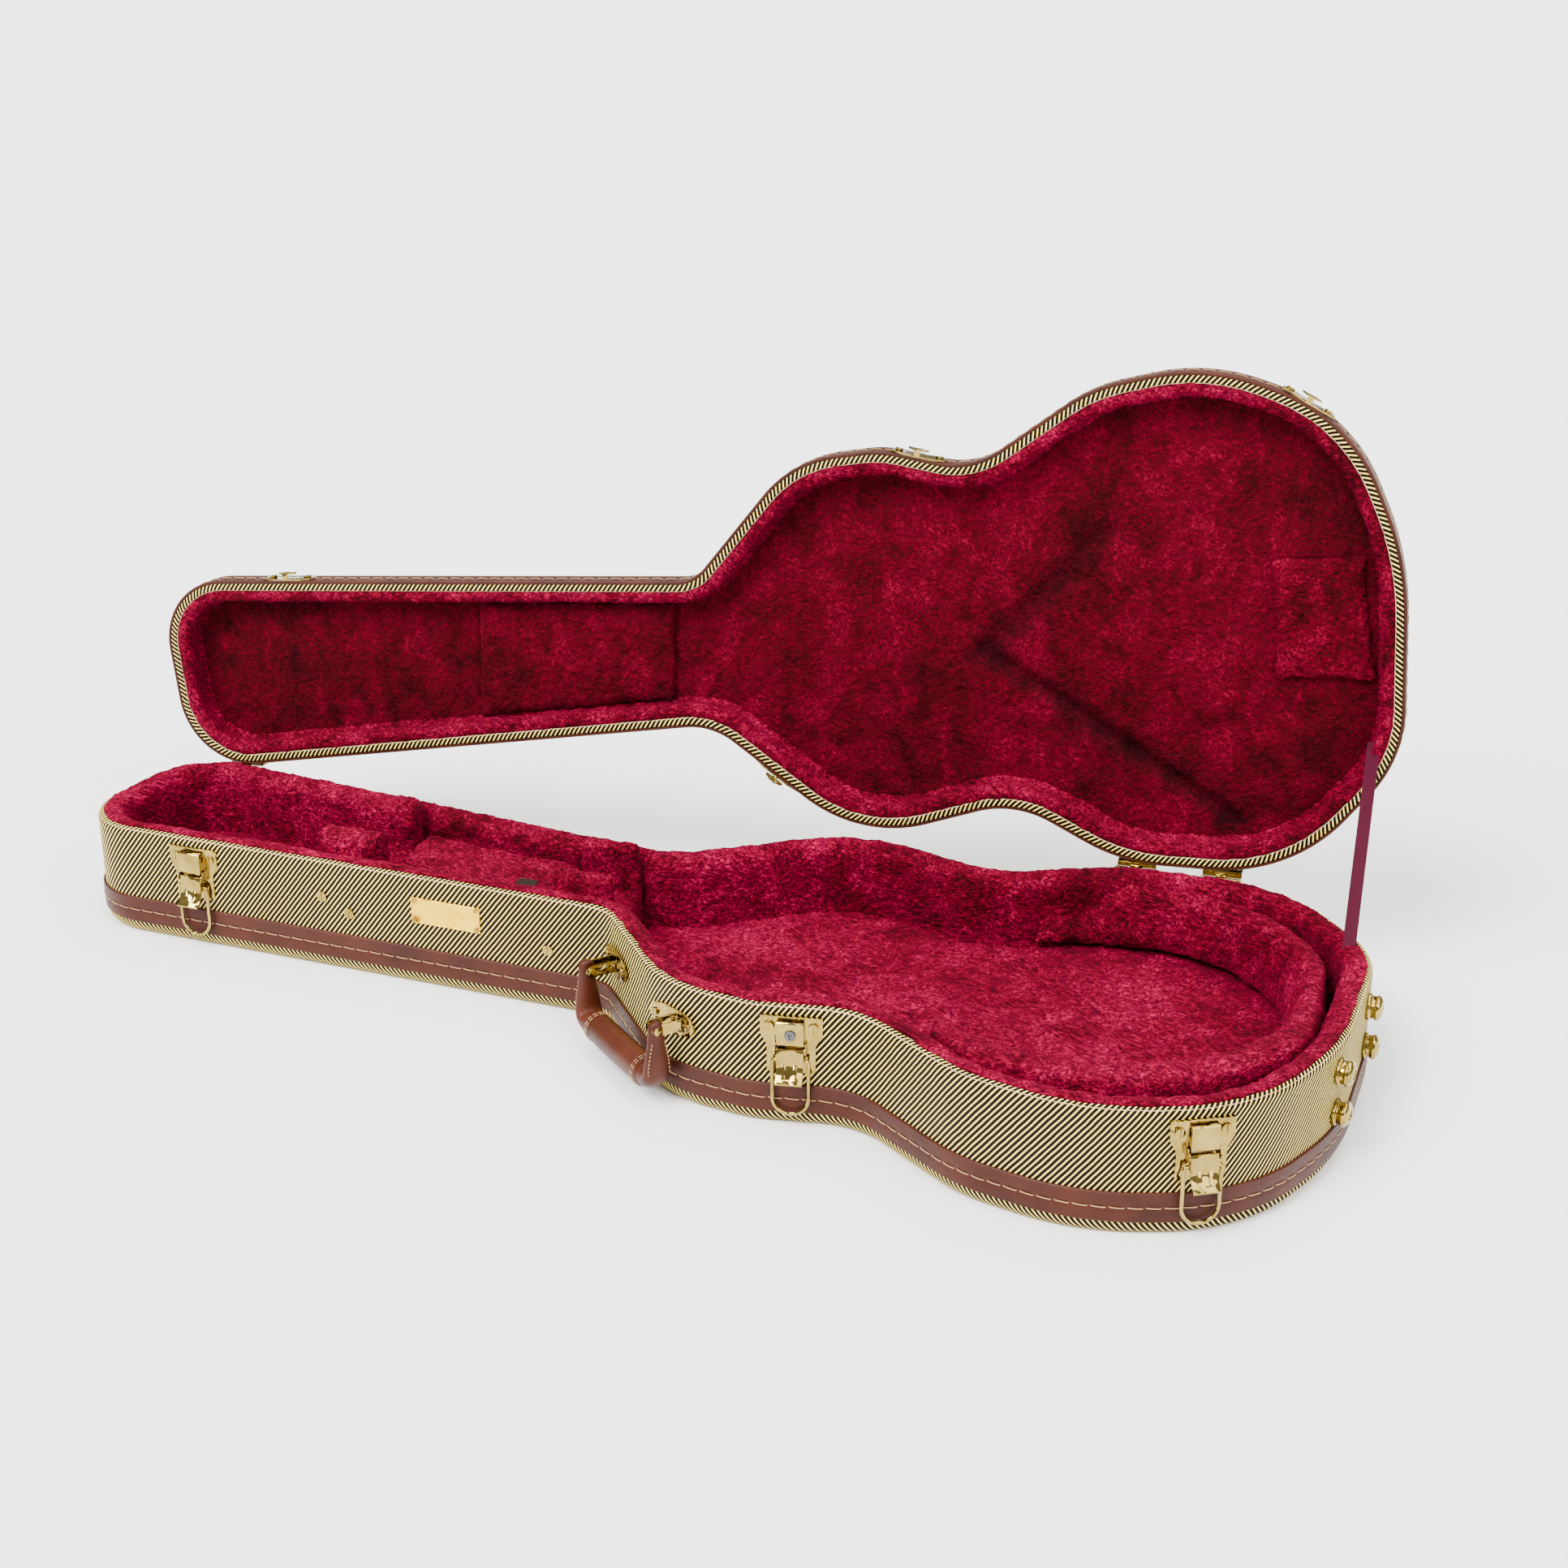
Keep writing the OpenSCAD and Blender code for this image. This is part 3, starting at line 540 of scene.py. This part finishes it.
TWEED = tweed()
BAND = leather("leatherette", (0.032, 0.0062, 0.0028), (0.055, 0.0112, 0.0052), 0.42, 1500.0)
GRIP = leather("handle_leather", (0.034, 0.0066, 0.0030), (0.068, 0.0150, 0.0068), 0.32, 1900.0)
# One plush cloth, painted at three light levels. PLUSH is the brightly lit copy, used in the base and on the
# lid's rim. The lid_plush material is the same cloth painted about half as bright, with weaker streaks:
# painted shade on the lid's panel and neck pad. The pocket_plush material lies between the two, with less
# painted shade, so the pocket's nap reads as catching more light.
PLUSH = plush("plush", (0.042, 0.0, 0.0028), (0.103, 0.0001, 0.0095), (0.185, 0.0006, 0.023), 0.9)
SHADED_LID_PLUSH = plush("lid_plush", (0.019, 0.0, 0.0010), (0.050, 0.0, 0.0036), (0.092, 0.0002, 0.0082), 0.62,
                  [(*LONG_FOLD, 18, 0.36), (*SHORT_FOLD, 20, 0.52)])
HALF_SHADED_PLUSH = plush("pocket_plush", (0.026, 0.0, 0.0014), (0.070, 0.0, 0.0054), (0.125, 0.0003, 0.0120),
                     0.75)
BRASS = brass("brass", (0.25, 0.170, 0.036), (0.42, 0.30, 0.080), 0.13, 0.05)
PLATE_BRASS = brass("nameplate_brass", (0.84, 0.50, 0.012), (0.95, 0.62, 0.035), 0.34, 0.24)
STEEL = steel()
THREAD = woven("thread", (0.22, 0.11, 0.045), (0.55, 0.34, 0.16), 900.0)
RIBBON = woven("ribbon", (0.030, 0.0003, 0.0060), (0.060, 0.0008, 0.0135), 1200.0)
TAPE = woven("dark_ribbon", (0.006, 0.004, 0.003), (0.022, 0.015, 0.010), 1200.0)
PLY = plywood()


# ---- covering, bands and stitches ----
def base_cover():
    rows = [(-1, 1.4), (0.3, 1.4), (0.3, 60), (0.3, 92)] + arc(2.3, RIM - 3.4, 2, 180, 100)[1:]
    rows += arc(3.2, RIM - 4.8, 4.8, 90, 0, 8) + [(WALL, 60), (WALL, 24), (WALL, 23), (WALL, 14)]
    rows += arc(WALL - EDGE_R, EDGE_R, EDGE_R, 0, -90, 8)
    o = sweep("base_cover", rows, 4, closed=False, flip_below=23.5)
    return clothe(o, TWEED, "tweed", "base", "base_side_cloth", "base_bottom_cloth")


def lid_cover():
    rows = [(-1, LID_TOP - 1.4), (1.1, LID_TOP - 1.4), (1.1, LID + 4), (1.1, LID + 1.7)]
    rows += arc(2.6, LID + 1.2, 1, 180, 270)
    rows += arc(6.3, LID + 1.2, 1, 270, 360, 4) + [(WALL - 0.6, LID + 6), (WALL, LID + 20)]
    rows += arc(WALL - EDGE_R, LID_TOP - EDGE_R, EDGE_R, 0, 90, 8)
    o = sweep("lid_cover", rows, 4, closed=False, flip_below=LID + 20.5)
    o.data.transform(OPENED)
    return clothe(o, TWEED, "tweed", "lid", "lid_rim_cloth", "lid_top_cloth")


def band_profile(low, high):
    """A flat strip with rounded edges and a stitched groove along its middle."""
    mid = (low + high) / 2
    half = [(-0.3, 0), (1.3, 0), (2, 0.7), (2.15, 5)]
    groove = [(2.1, -1.4), (1.75, -0.7), (1.75, 0.7), (2.1, 1.4)]
    return ([(WALL + d, low + z) for d, z in half] + [(WALL + d, mid + z) for d, z in groove]
            + [(WALL + d, high - z) for d, z in reversed(half)])


def stitches(name, mid, offset):
    """Thread laid in the band's groove: each stitch dives into the leather at both ends."""
    place, out = ring_points(2)
    line = place + out * offset * MM
    run = np.concatenate([[0], np.cumsum(np.linalg.norm(np.roll(line, -1, 0) - line, axis=1))])
    line = np.vstack([line, line[:1]])
    away = np.vstack([out, out[:1]])
    count = round(run[-1] / (STITCH_PITCH * MM))
    lifts = [(0, -0.5), (0.06, 0.2), (0.3, 0.45), (0.5, 0.5), (0.7, 0.45), (0.94, 0.2), (1, -0.5)]
    bm = bmesh.new()
    for k in range(count):
        start = run[-1] * k / count
        path = []
        for share, lift in lifts:
            s = start + STITCH * MM * share
            at = [np.interp(s, run, line[:, c]) + lift * MM * np.interp(s, run, away[:, c]) for c in (0, 1)]
            slant = 0.5 * (share - 0.5)
            path.append((at[0], at[1], (mid + slant) * MM))
        tube(bm, path, BAND_THREAD_R * MM, 6)
    return finish_mesh(name, bm, 60)


def bands():
    for name, body, (low, high) in (("base", "base", BASE_BAND), ("lid", "lid", LID_BAND)):
        band = sweep(f"{name}_band", band_profile(low, high), 4)
        thread = stitches(f"{name}_band_stitches", (low + high) / 2, WALL + 1.9)
        if name == "lid":
            band.data.transform(OPENED)
            thread.data.transform(OPENED)
        clothe(band, BAND, "leatherette", body, f"{name}_trim_band")
        clothe(thread, THREAD, "tweed", body)


# ---- plush ----
def soft_noise(points, size, seed):
    """Smooth random numbers from -1 to 1 that change over about size metres."""
    table = np.random.default_rng(int(seed * 10) + 7).random(65536) * 2 - 1
    p = points / size + 100
    cell = np.floor(p).astype(np.int64)
    f = p - cell
    f = f * f * (3 - 2 * f)
    total = np.zeros(len(p))
    for dx in (0, 1):
        for dy in (0, 1):
            for dz in (0, 1):
                key = (cell[:, 0] + dx) * 7919 + (cell[:, 1] + dy) * 104729 + (cell[:, 2] + dz) * 1299709
                part = (f[:, 0] if dx else 1 - f[:, 0]) * (f[:, 1] if dy else 1 - f[:, 1])
                total += table[key & 65535] * part * (f[:, 2] if dz else 1 - f[:, 2])
    return total


def ruffle(o, height, size, seed=0.0):
    """Moves each point along its normal by soft noise: broad dents, tufts, and single locks of pile."""
    mesh = o.data
    co, no = coords(mesh), normals(mesh)
    shift = (soft_noise(co, size * MM, seed) + 0.55 * soft_noise(co, size * MM / 3, seed + 1)
             + 0.8 * soft_noise(co, 2.8 * MM, seed + 2))
    set_coords(mesh, co + no * (shift * height * MM)[:, None])
    return shade(o, 180)


def remeshed(name, node, voxel, shrink=0.0):
    """A copy of a CAD solid as one even mesh, drawn in by shrink millimetres."""
    o = link(name, frame["nodes"][node].data.copy())
    fill = o.modifiers.new("fill", "REMESH")
    fill.mode = "VOXEL"
    fill.voxel_size = voxel * MM
    apply_modifiers(o)
    if shrink:
        set_coords(o.data, coords(o.data) - normals(o.data) * shrink * MM)
    return o


def swell(o, cap, pressure=4.0, frames=20):
    """Inflates a closed pad with Blender's cloth, and lets no point move further than cap millimetres."""
    start = coords(o.data)
    cloth = o.modifiers.new("swell", "CLOTH")
    cloth.settings.use_pressure = True
    cloth.settings.uniform_pressure_force = pressure
    cloth.settings.effector_weights.gravity = 0
    for f in range(1, frames + 1):
        scene.frame_set(f)
    dg = bpy.context.evaluated_depsgraph_get()
    end = coords(o.evaluated_get(dg).data)
    move = end - start
    far = np.linalg.norm(move, axis=1)[:, None]
    o.modifiers.clear()
    set_coords(o.data, start + move * np.minimum(1, cap * MM / np.maximum(far, 1e-9)))
    scene.frame_set(1)
    return o


def relax(o, rounds, share=0.5):
    """Evens out a mesh by moving each point towards its neighbours."""
    bm = bmesh.new()
    bm.from_mesh(o.data)
    for _ in range(rounds):
        bmesh.ops.smooth_vert(bm, verts=bm.verts, factor=share,
                              use_axis_x=True, use_axis_y=True, use_axis_z=True)
    bm.to_mesh(o.data)
    bm.free()
    return o


def finer(o):
    sub = o.modifiers.new("finer", "SUBSURF")
    sub.levels = sub.render_levels = 1
    return apply_modifiers(o)


def pad(name, node, body, voxel, cap, shrink, rounds=3, height=0.7, size=9, seed=0.0, rise=0.0):
    """A foam pad under plush that stands for a plain CAD solid. rise, in millimetres, lifts what lies above
    a height of 84 mm, and less the lower a point lies, down to 66 mm."""
    o = remeshed(name, node, voxel, shrink)
    swell(relax(o, rounds), cap)
    co = coords(o.data)
    co[:, 2] += rise * MM * np.clip((co[:, 2] / MM - 66) / 18, 0, 1)
    set_coords(o.data, co)
    finer(relax(o, 1))
    ruffle(o, height, size, seed)
    # The lid's neck pad takes the shaded copy of the plush and the pocket the half-shaded copy: painted
    # shade. Every other pad takes the lit copy.
    material = {"lid_neck_pad": SHADED_LID_PLUSH, "lid_pocket": HALF_SHADED_PLUSH}.get(node, PLUSH)
    clothe(o, material, "plush", body, node)
    return o


def base_lining():
    profile = [(-0.4, 40), (-0.4, 70), (-0.4, 92), (0.2, 96.6), (2.6, 97.7), (3.6, 98.5), (2.4, 99.6),
               (-1.5, 100.2), (-6.5, 99.3), (-11.5, 96.4), (-14.6, 91.0), (-15.2, 84), (-14.2, 66), (-13, 50),
               (-12.2, 40), (-12, 33), (-6, 32), (-0.6, 33)]
    o = sweep("base_wall_lining_plush", rounded(profile, 2), 2)
    ruffle(o, 0.9, 12, 3.0)
    clothe(o, PLUSH, "plush", "base", "base_wall_lining")
    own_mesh(o)
    return o


def lid_lining():
    top = LID_TOP - EDGE_R - 5.4
    profile = [(1.4, LID + 7), (1.5, LID + 3), (0.9, LID + 1.5), (-1.2, LID + 0.8), (-4.8, LID + 0.8),
               (-8.4, LID + 3.2), (-9.4, LID + 8), (-8.8, LID + 14), (-9.6, LID + 19.5), (-12.5, top - 0.2),
               (-12, top + 4), (1.2, top + 4)]
    o = sweep("lid_wall_lining_plush", rounded(profile, 2), 2)
    o.data.transform(OPENED)
    ruffle(o, 0.8, 9, 5.0)
    # The lid's rim lining takes the lit copy of the plush, as the base does, so the roll is painted as
    # catching more light than the lid's panel.
    clothe(o, PLUSH, "plush", "lid", "lid_wall_lining")
    return o


def crease(co, a, b, width):
    """How close each point lies to the line from a to b, from 0 to 1, in the lid's own plane."""
    shut = np.array([(OPENED.inverted() @ Vector(p))[:2] for p in co]) / MM
    a, b = np.array(a), np.array(b)
    t = np.clip((shut - a) @ (b - a) / ((b - a) @ (b - a)), 0, 1)
    far = np.linalg.norm(shut - a - t[:, None] * (b - a), axis=1)
    return np.exp(-(far / width) ** 2)


def lid_panel():
    o = remeshed("lid_panel_lining_plush", "lid_panel_lining", 2.6)
    relax(o, 2)
    co, no = coords(o.data), normals(o.data)
    dip = (DEEPEST_FOLD * crease(co, *LONG_FOLD, 6) + 3.6 * crease(co, *SHORT_FOLD, 9)
           + 1.6 * crease(co, *FAINT_FOLD, 11))
    dip = np.minimum(dip, DEEPEST_FOLD)
    inwards = (no @ np.array(OPENED.to_3x3() @ Vector((0, 0, -1)))) > 0.5
    set_coords(o.data, co - no * (dip * inwards * MM)[:, None])
    ruffle(o, 0.75, 14, 7.0)
    # The lid's panel takes the shaded copy of the plush: painted shade.
    clothe(o, SHADED_LID_PLUSH, "plush", "lid", "lid_panel_lining")
    return o


def floor_pad():
    o = remeshed("base_floor_plush", "base_floor_pads", 5, 1.0)
    relax(o, 2)
    finer(o)
    ruffle(o, 1.2, 13, 11.0)
    clothe(o, PLUSH, "plush", "base", "base_floor_pads")
    return o


def soft_goods():
    base_lining()
    floor_pad()
    lid_lining()
    lid_panel()
    pad("bout_pad_plush", "base_bout_pad", "base", 5, 5, 0.8, 5, 0.9, 11, 2.0, 7)
    for end, seed in (("head", 4.0), ("body", 6.0)):
        rest = pad(f"neck_rest_{end}_plush", f"neck_rest_{end}", "base", 3.5, 3, 0.8, 3, 1.2, 9, seed, 7)
        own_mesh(rest)
    pad("lid_neck_pad_plush", "lid_neck_pad", "lid", 3.5, 2.5, 1.2, 2, 0.8, 9, 8.0)
    pad("lid_pocket_plush", "lid_pocket", "lid", 2.5, 3, 0.2, 2, 0.6, 8, 9.0)
    cover = pad("accessory_lid_plush", "accessory_lid", "accessory_cover", 2.5, 2.5, 0.8, 3, 1.2, 13,
                10.0)
    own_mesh(cover)
    box = remeshed("accessory_box_plush", "accessory_box", 2.2)
    ruffle(relax(box, 1), 0.3, 9, 12.0)
    clothe(box, PLUSH, "plush", "base", "accessory_box")


def pull_tab():
    """Short dark tape that lies on the compartment's cover with its end curled up."""
    low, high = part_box("accessory_pull_tab")
    x0, x1, y0, y1, z = low.x, high.x, low.y, high.y, high.z
    rows = 12
    bm = bmesh.new()
    lines = []
    for k in range(rows + 1):
        t = k / rows
        y = y0 + (y1 - y0) * t
        lift = 0.0045 * max(0, t - 0.35) ** 1.5
        lines.append([bm.verts.new((x0 + (x1 - x0) * s, y, z + lift + 0.0004 * math.sin(math.pi * s)))
                      for s in (0, 0.25, 0.5, 0.75, 1)])
    for a, b in zip(lines, lines[1:]):
        for k in range(4):
            bm.faces.new((a[k], a[k + 1], b[k + 1], b[k]))
    o = finish_mesh("pull_tab_tape", bm, 60)
    thick = o.modifiers.new("thick", "SOLIDIFY")
    thick.thickness = 0.9 * MM
    thick.offset = 0
    apply_modifiers(o)
    clothe(shade(o), TAPE, "dark_ribbon", "accessory_cover", "accessory_pull_tab")


def stay_ribbon():
    low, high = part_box("lid_stay_strap")
    middle = (low.x + high.x) / 2
    a = Vector((middle, low.y + 0.0005, low.z + 0.0005))
    b = Vector((middle, high.y - 0.0005, high.z - 0.0005))
    along = (b - a).normalized()
    flat = Vector((0.005, 0, 0))
    face = along.cross(Vector((1, 0, 0))).normalized()
    rows = 70
    bm = bmesh.new()
    lines = []
    for k in range(rows + 1):
        t = k / rows
        twist = Matrix.Rotation(math.radians(5 * math.sin(1.6 * math.pi * t)), 3, along)
        centre = a.lerp(b, t)
        lines.append([bm.verts.new(centre + (twist @ flat) * s + face * 0.0003 * (1 - s * s))
                      for s in (-1, -0.6, 0, 0.6, 1)])
    for p, q in zip(lines, lines[1:]):
        for k in range(4):
            bm.faces.new((p[k], p[k + 1], q[k + 1], q[k]))
    o = finish_mesh("stay_ribbon", bm, 60)
    thick = o.modifiers.new("thick", "SOLIDIFY")
    thick.thickness = 0.7 * MM
    thick.offset = 0
    apply_modifiers(o)
    o.data.materials.clear()
    o.data.materials.append(RIBBON)
    shade(o)
    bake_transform(o)
    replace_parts(o, "lid_stay_strap")


# ---- hardware ----
def bevelled(node, body, material, slot, width):
    """A CAD fitting with its edges rounded, as pressed metal has them."""
    o = link(node + "_pressed", frame["nodes"][node].data.copy())
    bm = bmesh.new()
    bm.from_mesh(o.data)
    bmesh.ops.remove_doubles(bm, verts=bm.verts, dist=1e-6)
    bmesh.ops.dissolve_limit(bm, angle_limit=math.radians(1), verts=bm.verts, edges=bm.edges)
    bm.to_mesh(o.data)
    bm.free()
    edge = o.modifiers.new("edge", "BEVEL")
    edge.width = width * MM
    edge.segments = 2
    edge.limit_method = "ANGLE"
    edge.angle_limit = math.radians(30)
    apply_modifiers(o)
    return clothe(shade(o, 40), material, slot, body, node)


def on_wall(w):
    """Takes (out, along, up) at a place on the wall to the frame."""
    return Matrix.Translation((w[0] * MM, w[1] * MM, 0)) @ Matrix.Rotation(math.radians(w[2]), 4, "Z")


def bail(name, w, body):
    """U-shaped wire with its ends turned in and a flattened spot in the middle of the round end."""
    legs = 26.0
    half = [(BAIL_R - 5.2, BAIL_Z), (BAIL_R - 2.2, BAIL_Z), (BAIL_R - 0.5, BAIL_Z - 0.5),
            (BAIL_R, BAIL_Z - 2.2), (BAIL_R, BAIL_Z - 10), (BAIL_R, legs + 8)]
    half += arc(0, legs, BAIL_R, 0, -84, 14)
    path = half + [(-y, z) for y, z in reversed(half)]
    matrix = on_wall(w)
    points = [matrix @ Vector((BAIL_X * MM, y * MM, z * MM)) for y, z in path]
    bm = bmesh.new()
    tube(bm, points, WIRE_R * MM, 16)
    spot = matrix @ Vector((BAIL_X * MM, 0, (legs - BAIL_R) * MM))
    for v in bm.verts:
        d = (v.co - spot).length / (4.2 * MM)
        if d < 1:
            share = 0.32 * (1 - d * d)
            out = matrix.to_3x3() @ Vector((1, 0, 0))
            v.co -= out * (v.co - spot).dot(out) * share
    o = finish_mesh(name, bm, 50)
    return clothe(o, BRASS, "brass", body)


def fittings():
    widths = {"latch": 0.3, "strike": 0.3, "handle_bracket": 0.4, "hinge": 0.3, "tail_feet": 0.3,
              "nameplate": 0.2, "base_screws": 0.25, "lid_screws": 0.25}
    for body, members in frame["record"]["behaviour"]["bodies"].items():
        for node in members:
            slot = next(s["material_slot"] for s in frame["record"]["subparts"] if s["node"] == node)
            if slot == "brass":
                if node.endswith("_bail"):
                    w = LATCHES[int(node[5]) - 1]
                    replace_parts(bail(node + "_wire", w, body), node)
                else:
                    width = next((v for k, v in widths.items() if node.startswith(k)), 0.2)
                    metal = PLATE_BRASS if node == "nameplate" else BRASS
                    bevelled(node, body, metal, "brass", width)
            elif slot == "lock_steel":
                bevelled(node, body, STEEL, "lock_steel", 0.25)
            elif slot == "plywood":
                o = frame["nodes"][node]
                o.data.materials.clear()
                o.data.materials.append(PLY)


def nameplate_border():
    """Thin raised bead round the edge of the blank nameplate."""
    matrix = on_wall(PLATE)
    path = []
    for i, (y, z) in enumerate(PLATE_CORNERS):
        path += arc(y, z, 2.6, 90 * i, 90 * i + 90, 5)
    bm = bmesh.new()
    tube(bm, [matrix @ Vector((1.15 * MM, y * MM, z * MM)) for y, z in path + path[:1]], 0.45 * MM, 8)
    clothe(finish_mesh("nameplate_border", bm, 60), PLATE_BRASS, "brass", "base")


# ---- handle ----
def handle():
    """Padded grip between two stitched end tabs, each looped over its pin."""
    pivot = joints["handle_pivot"]
    axis = -Vector(pivot["axis"])
    out = Vector((axis.y, -axis.x, 0))
    if out.y > 0:
        out = -out
    at = Vector(pivot["pos_m"])
    reach = (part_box("handle_pins")[1].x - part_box("handle_pins")[0].x) / 2 / abs(axis.x) - 7.6 * MM

    def world(x, y, z):
        return at + out * x * MM + axis * y * MM + Vector((0, 0, z * MM))

    end = reach / MM
    drop, r = 43.0, 11.5
    bm = bmesh.new()
    body, sizes = [], []
    for k in range(41):
        t = -1 + k / 20
        y = t * (end - 15)
        swell_r = r * (1.02 - 0.06 * t ** 4)
        body.append(world(0, y, -drop - 0.8 * (1 - t * t)))
        sizes.append((swell_r * MM, swell_r * MM))
    tube(bm, body, sizes, 40, out)
    grip = finish_mesh("handle_grip_leather", bm, 50)
    clothe(grip, GRIP, "handle_leather", "handle", "handle_grip")

    # a tab, from inside the grip's end to above its pin:
    # place along the handle, height, half width, half thickness
    route = [(end - 24, -drop, 10.6, 10.6), (end - 17, -drop, 10.7, 10.6), (end - 11, -drop + 0.3, 11, 9.6),
             (end - 6, -drop + 1.6, 11.2, 8.0), (end - 2.4, -drop + 4.6, 11.2, 6.4),
             (end - 0.5, -drop + 9.5, 10.8, 5.2), (end, -drop + 16, 10, 4.6), (end, -drop + 24, 8.8, 4.3),
             (end, -drop + 32, 7.6, 4.1), (end, -drop + 39, 7.0, 4.0), (end, -3, 7.0, 4.0),
             (end, 1, 6.8, 4.0), (end, 4, 5.6, 3.9), (end, 6, 3.6, 3.6), (end, 6.9, 1.6, 2.0)]
    bm = bmesh.new()
    for s in (-1, 1):
        fine = smooth_route([(s * y, z, w, t) for y, z, w, t in route], 5)
        sizes = [(w * MM, t * MM) for y, z, w, t in fine]
        tube(bm, [world(0, y, z) for y, z, w, t in fine], sizes, 32, out)
    tabs = finish_mesh("handle_tabs_leather", bm, 60)
    clothe(tabs, GRIP, "handle_leather", "handle", "handle_tabs")

    # place across the tab and height of the seam that runs up both edges of a tab
    edge = [(8.9, -drop + 8), (8.6, -drop + 14), (7.8, -drop + 20), (6.7, -drop + 26), (5.6, -drop + 32),
            (5.2, -9)]
    seam_r = r + 0.55
    bm = bmesh.new()
    for s in (-1, 1):
        for y in (end - 18.4, end - 21.4):
            around = [world(seam_r * math.cos(a), s * y, -drop + seam_r * math.sin(a))
                      for a in (2 * math.pi * k / 48 for k in range(49))]
            for k in range(0, 48, 3):
                tube(bm, around[k:k + 3], HANDLE_THREAD_R * MM, 6)
        for side in (-1, 1):
            line = smooth_route([(side * x, z, 0, 0) for x, z in edge], 4)
            for a, b in zip(line[::2], line[1::2]):
                depth = end + (3.9 if a[1] > -drop + 16 else 3.6)
                ends = [world(a[0], s * depth, a[1]), world(b[0], s * depth, b[1])]
                tube(bm, ends, HANDLE_THREAD_R * MM, 6)
    thread = finish_mesh("handle_stitches", bm, 60)
    clothe(thread, THREAD, "handle_leather", "handle")


def smooth_route(points, cuts):
    """A smooth curve through the points, with cuts steps between each two."""
    p = np.array(points, float)
    fine = []
    for i in range(len(p) - 1):
        a, b = p[max(i - 1, 0)], p[i]
        c, d = p[i + 1], p[min(i + 2, len(p) - 1)]
        for t in np.linspace(0, 1, cuts, endpoint=False):
            fine.append(tuple(0.5 * (2 * b + (c - a) * t + (2 * a - 5 * b + 4 * c - d) * t * t
                                     + (3 * b - 3 * c + d - a) * t ** 3)))
    return fine + [tuple(p[-1])]


def floor():
    """A wide pale sheet under the case."""
    size = 30
    mesh = bpy.data.meshes.new("floor")
    corners = [(-size, -size, 0), (size, -size, 0), (size, size, 0), (-size, size, 0)]
    mesh.from_pydata(corners, [], [(0, 1, 2, 3)])
    o = link("floor", mesh)
    m, _, shader = new_material("floor")
    shader.inputs["Base Color"].default_value = (0.93, 0.93, 0.93, 1)
    shader.inputs["Roughness"].default_value = 0.9
    mesh.materials.append(m)


add_camera()
add_light()
base_cover()
lid_cover()
bands()
soft_goods()
pull_tab()
stay_ribbon()
fittings()
nameplate_border()
handle()
floor()
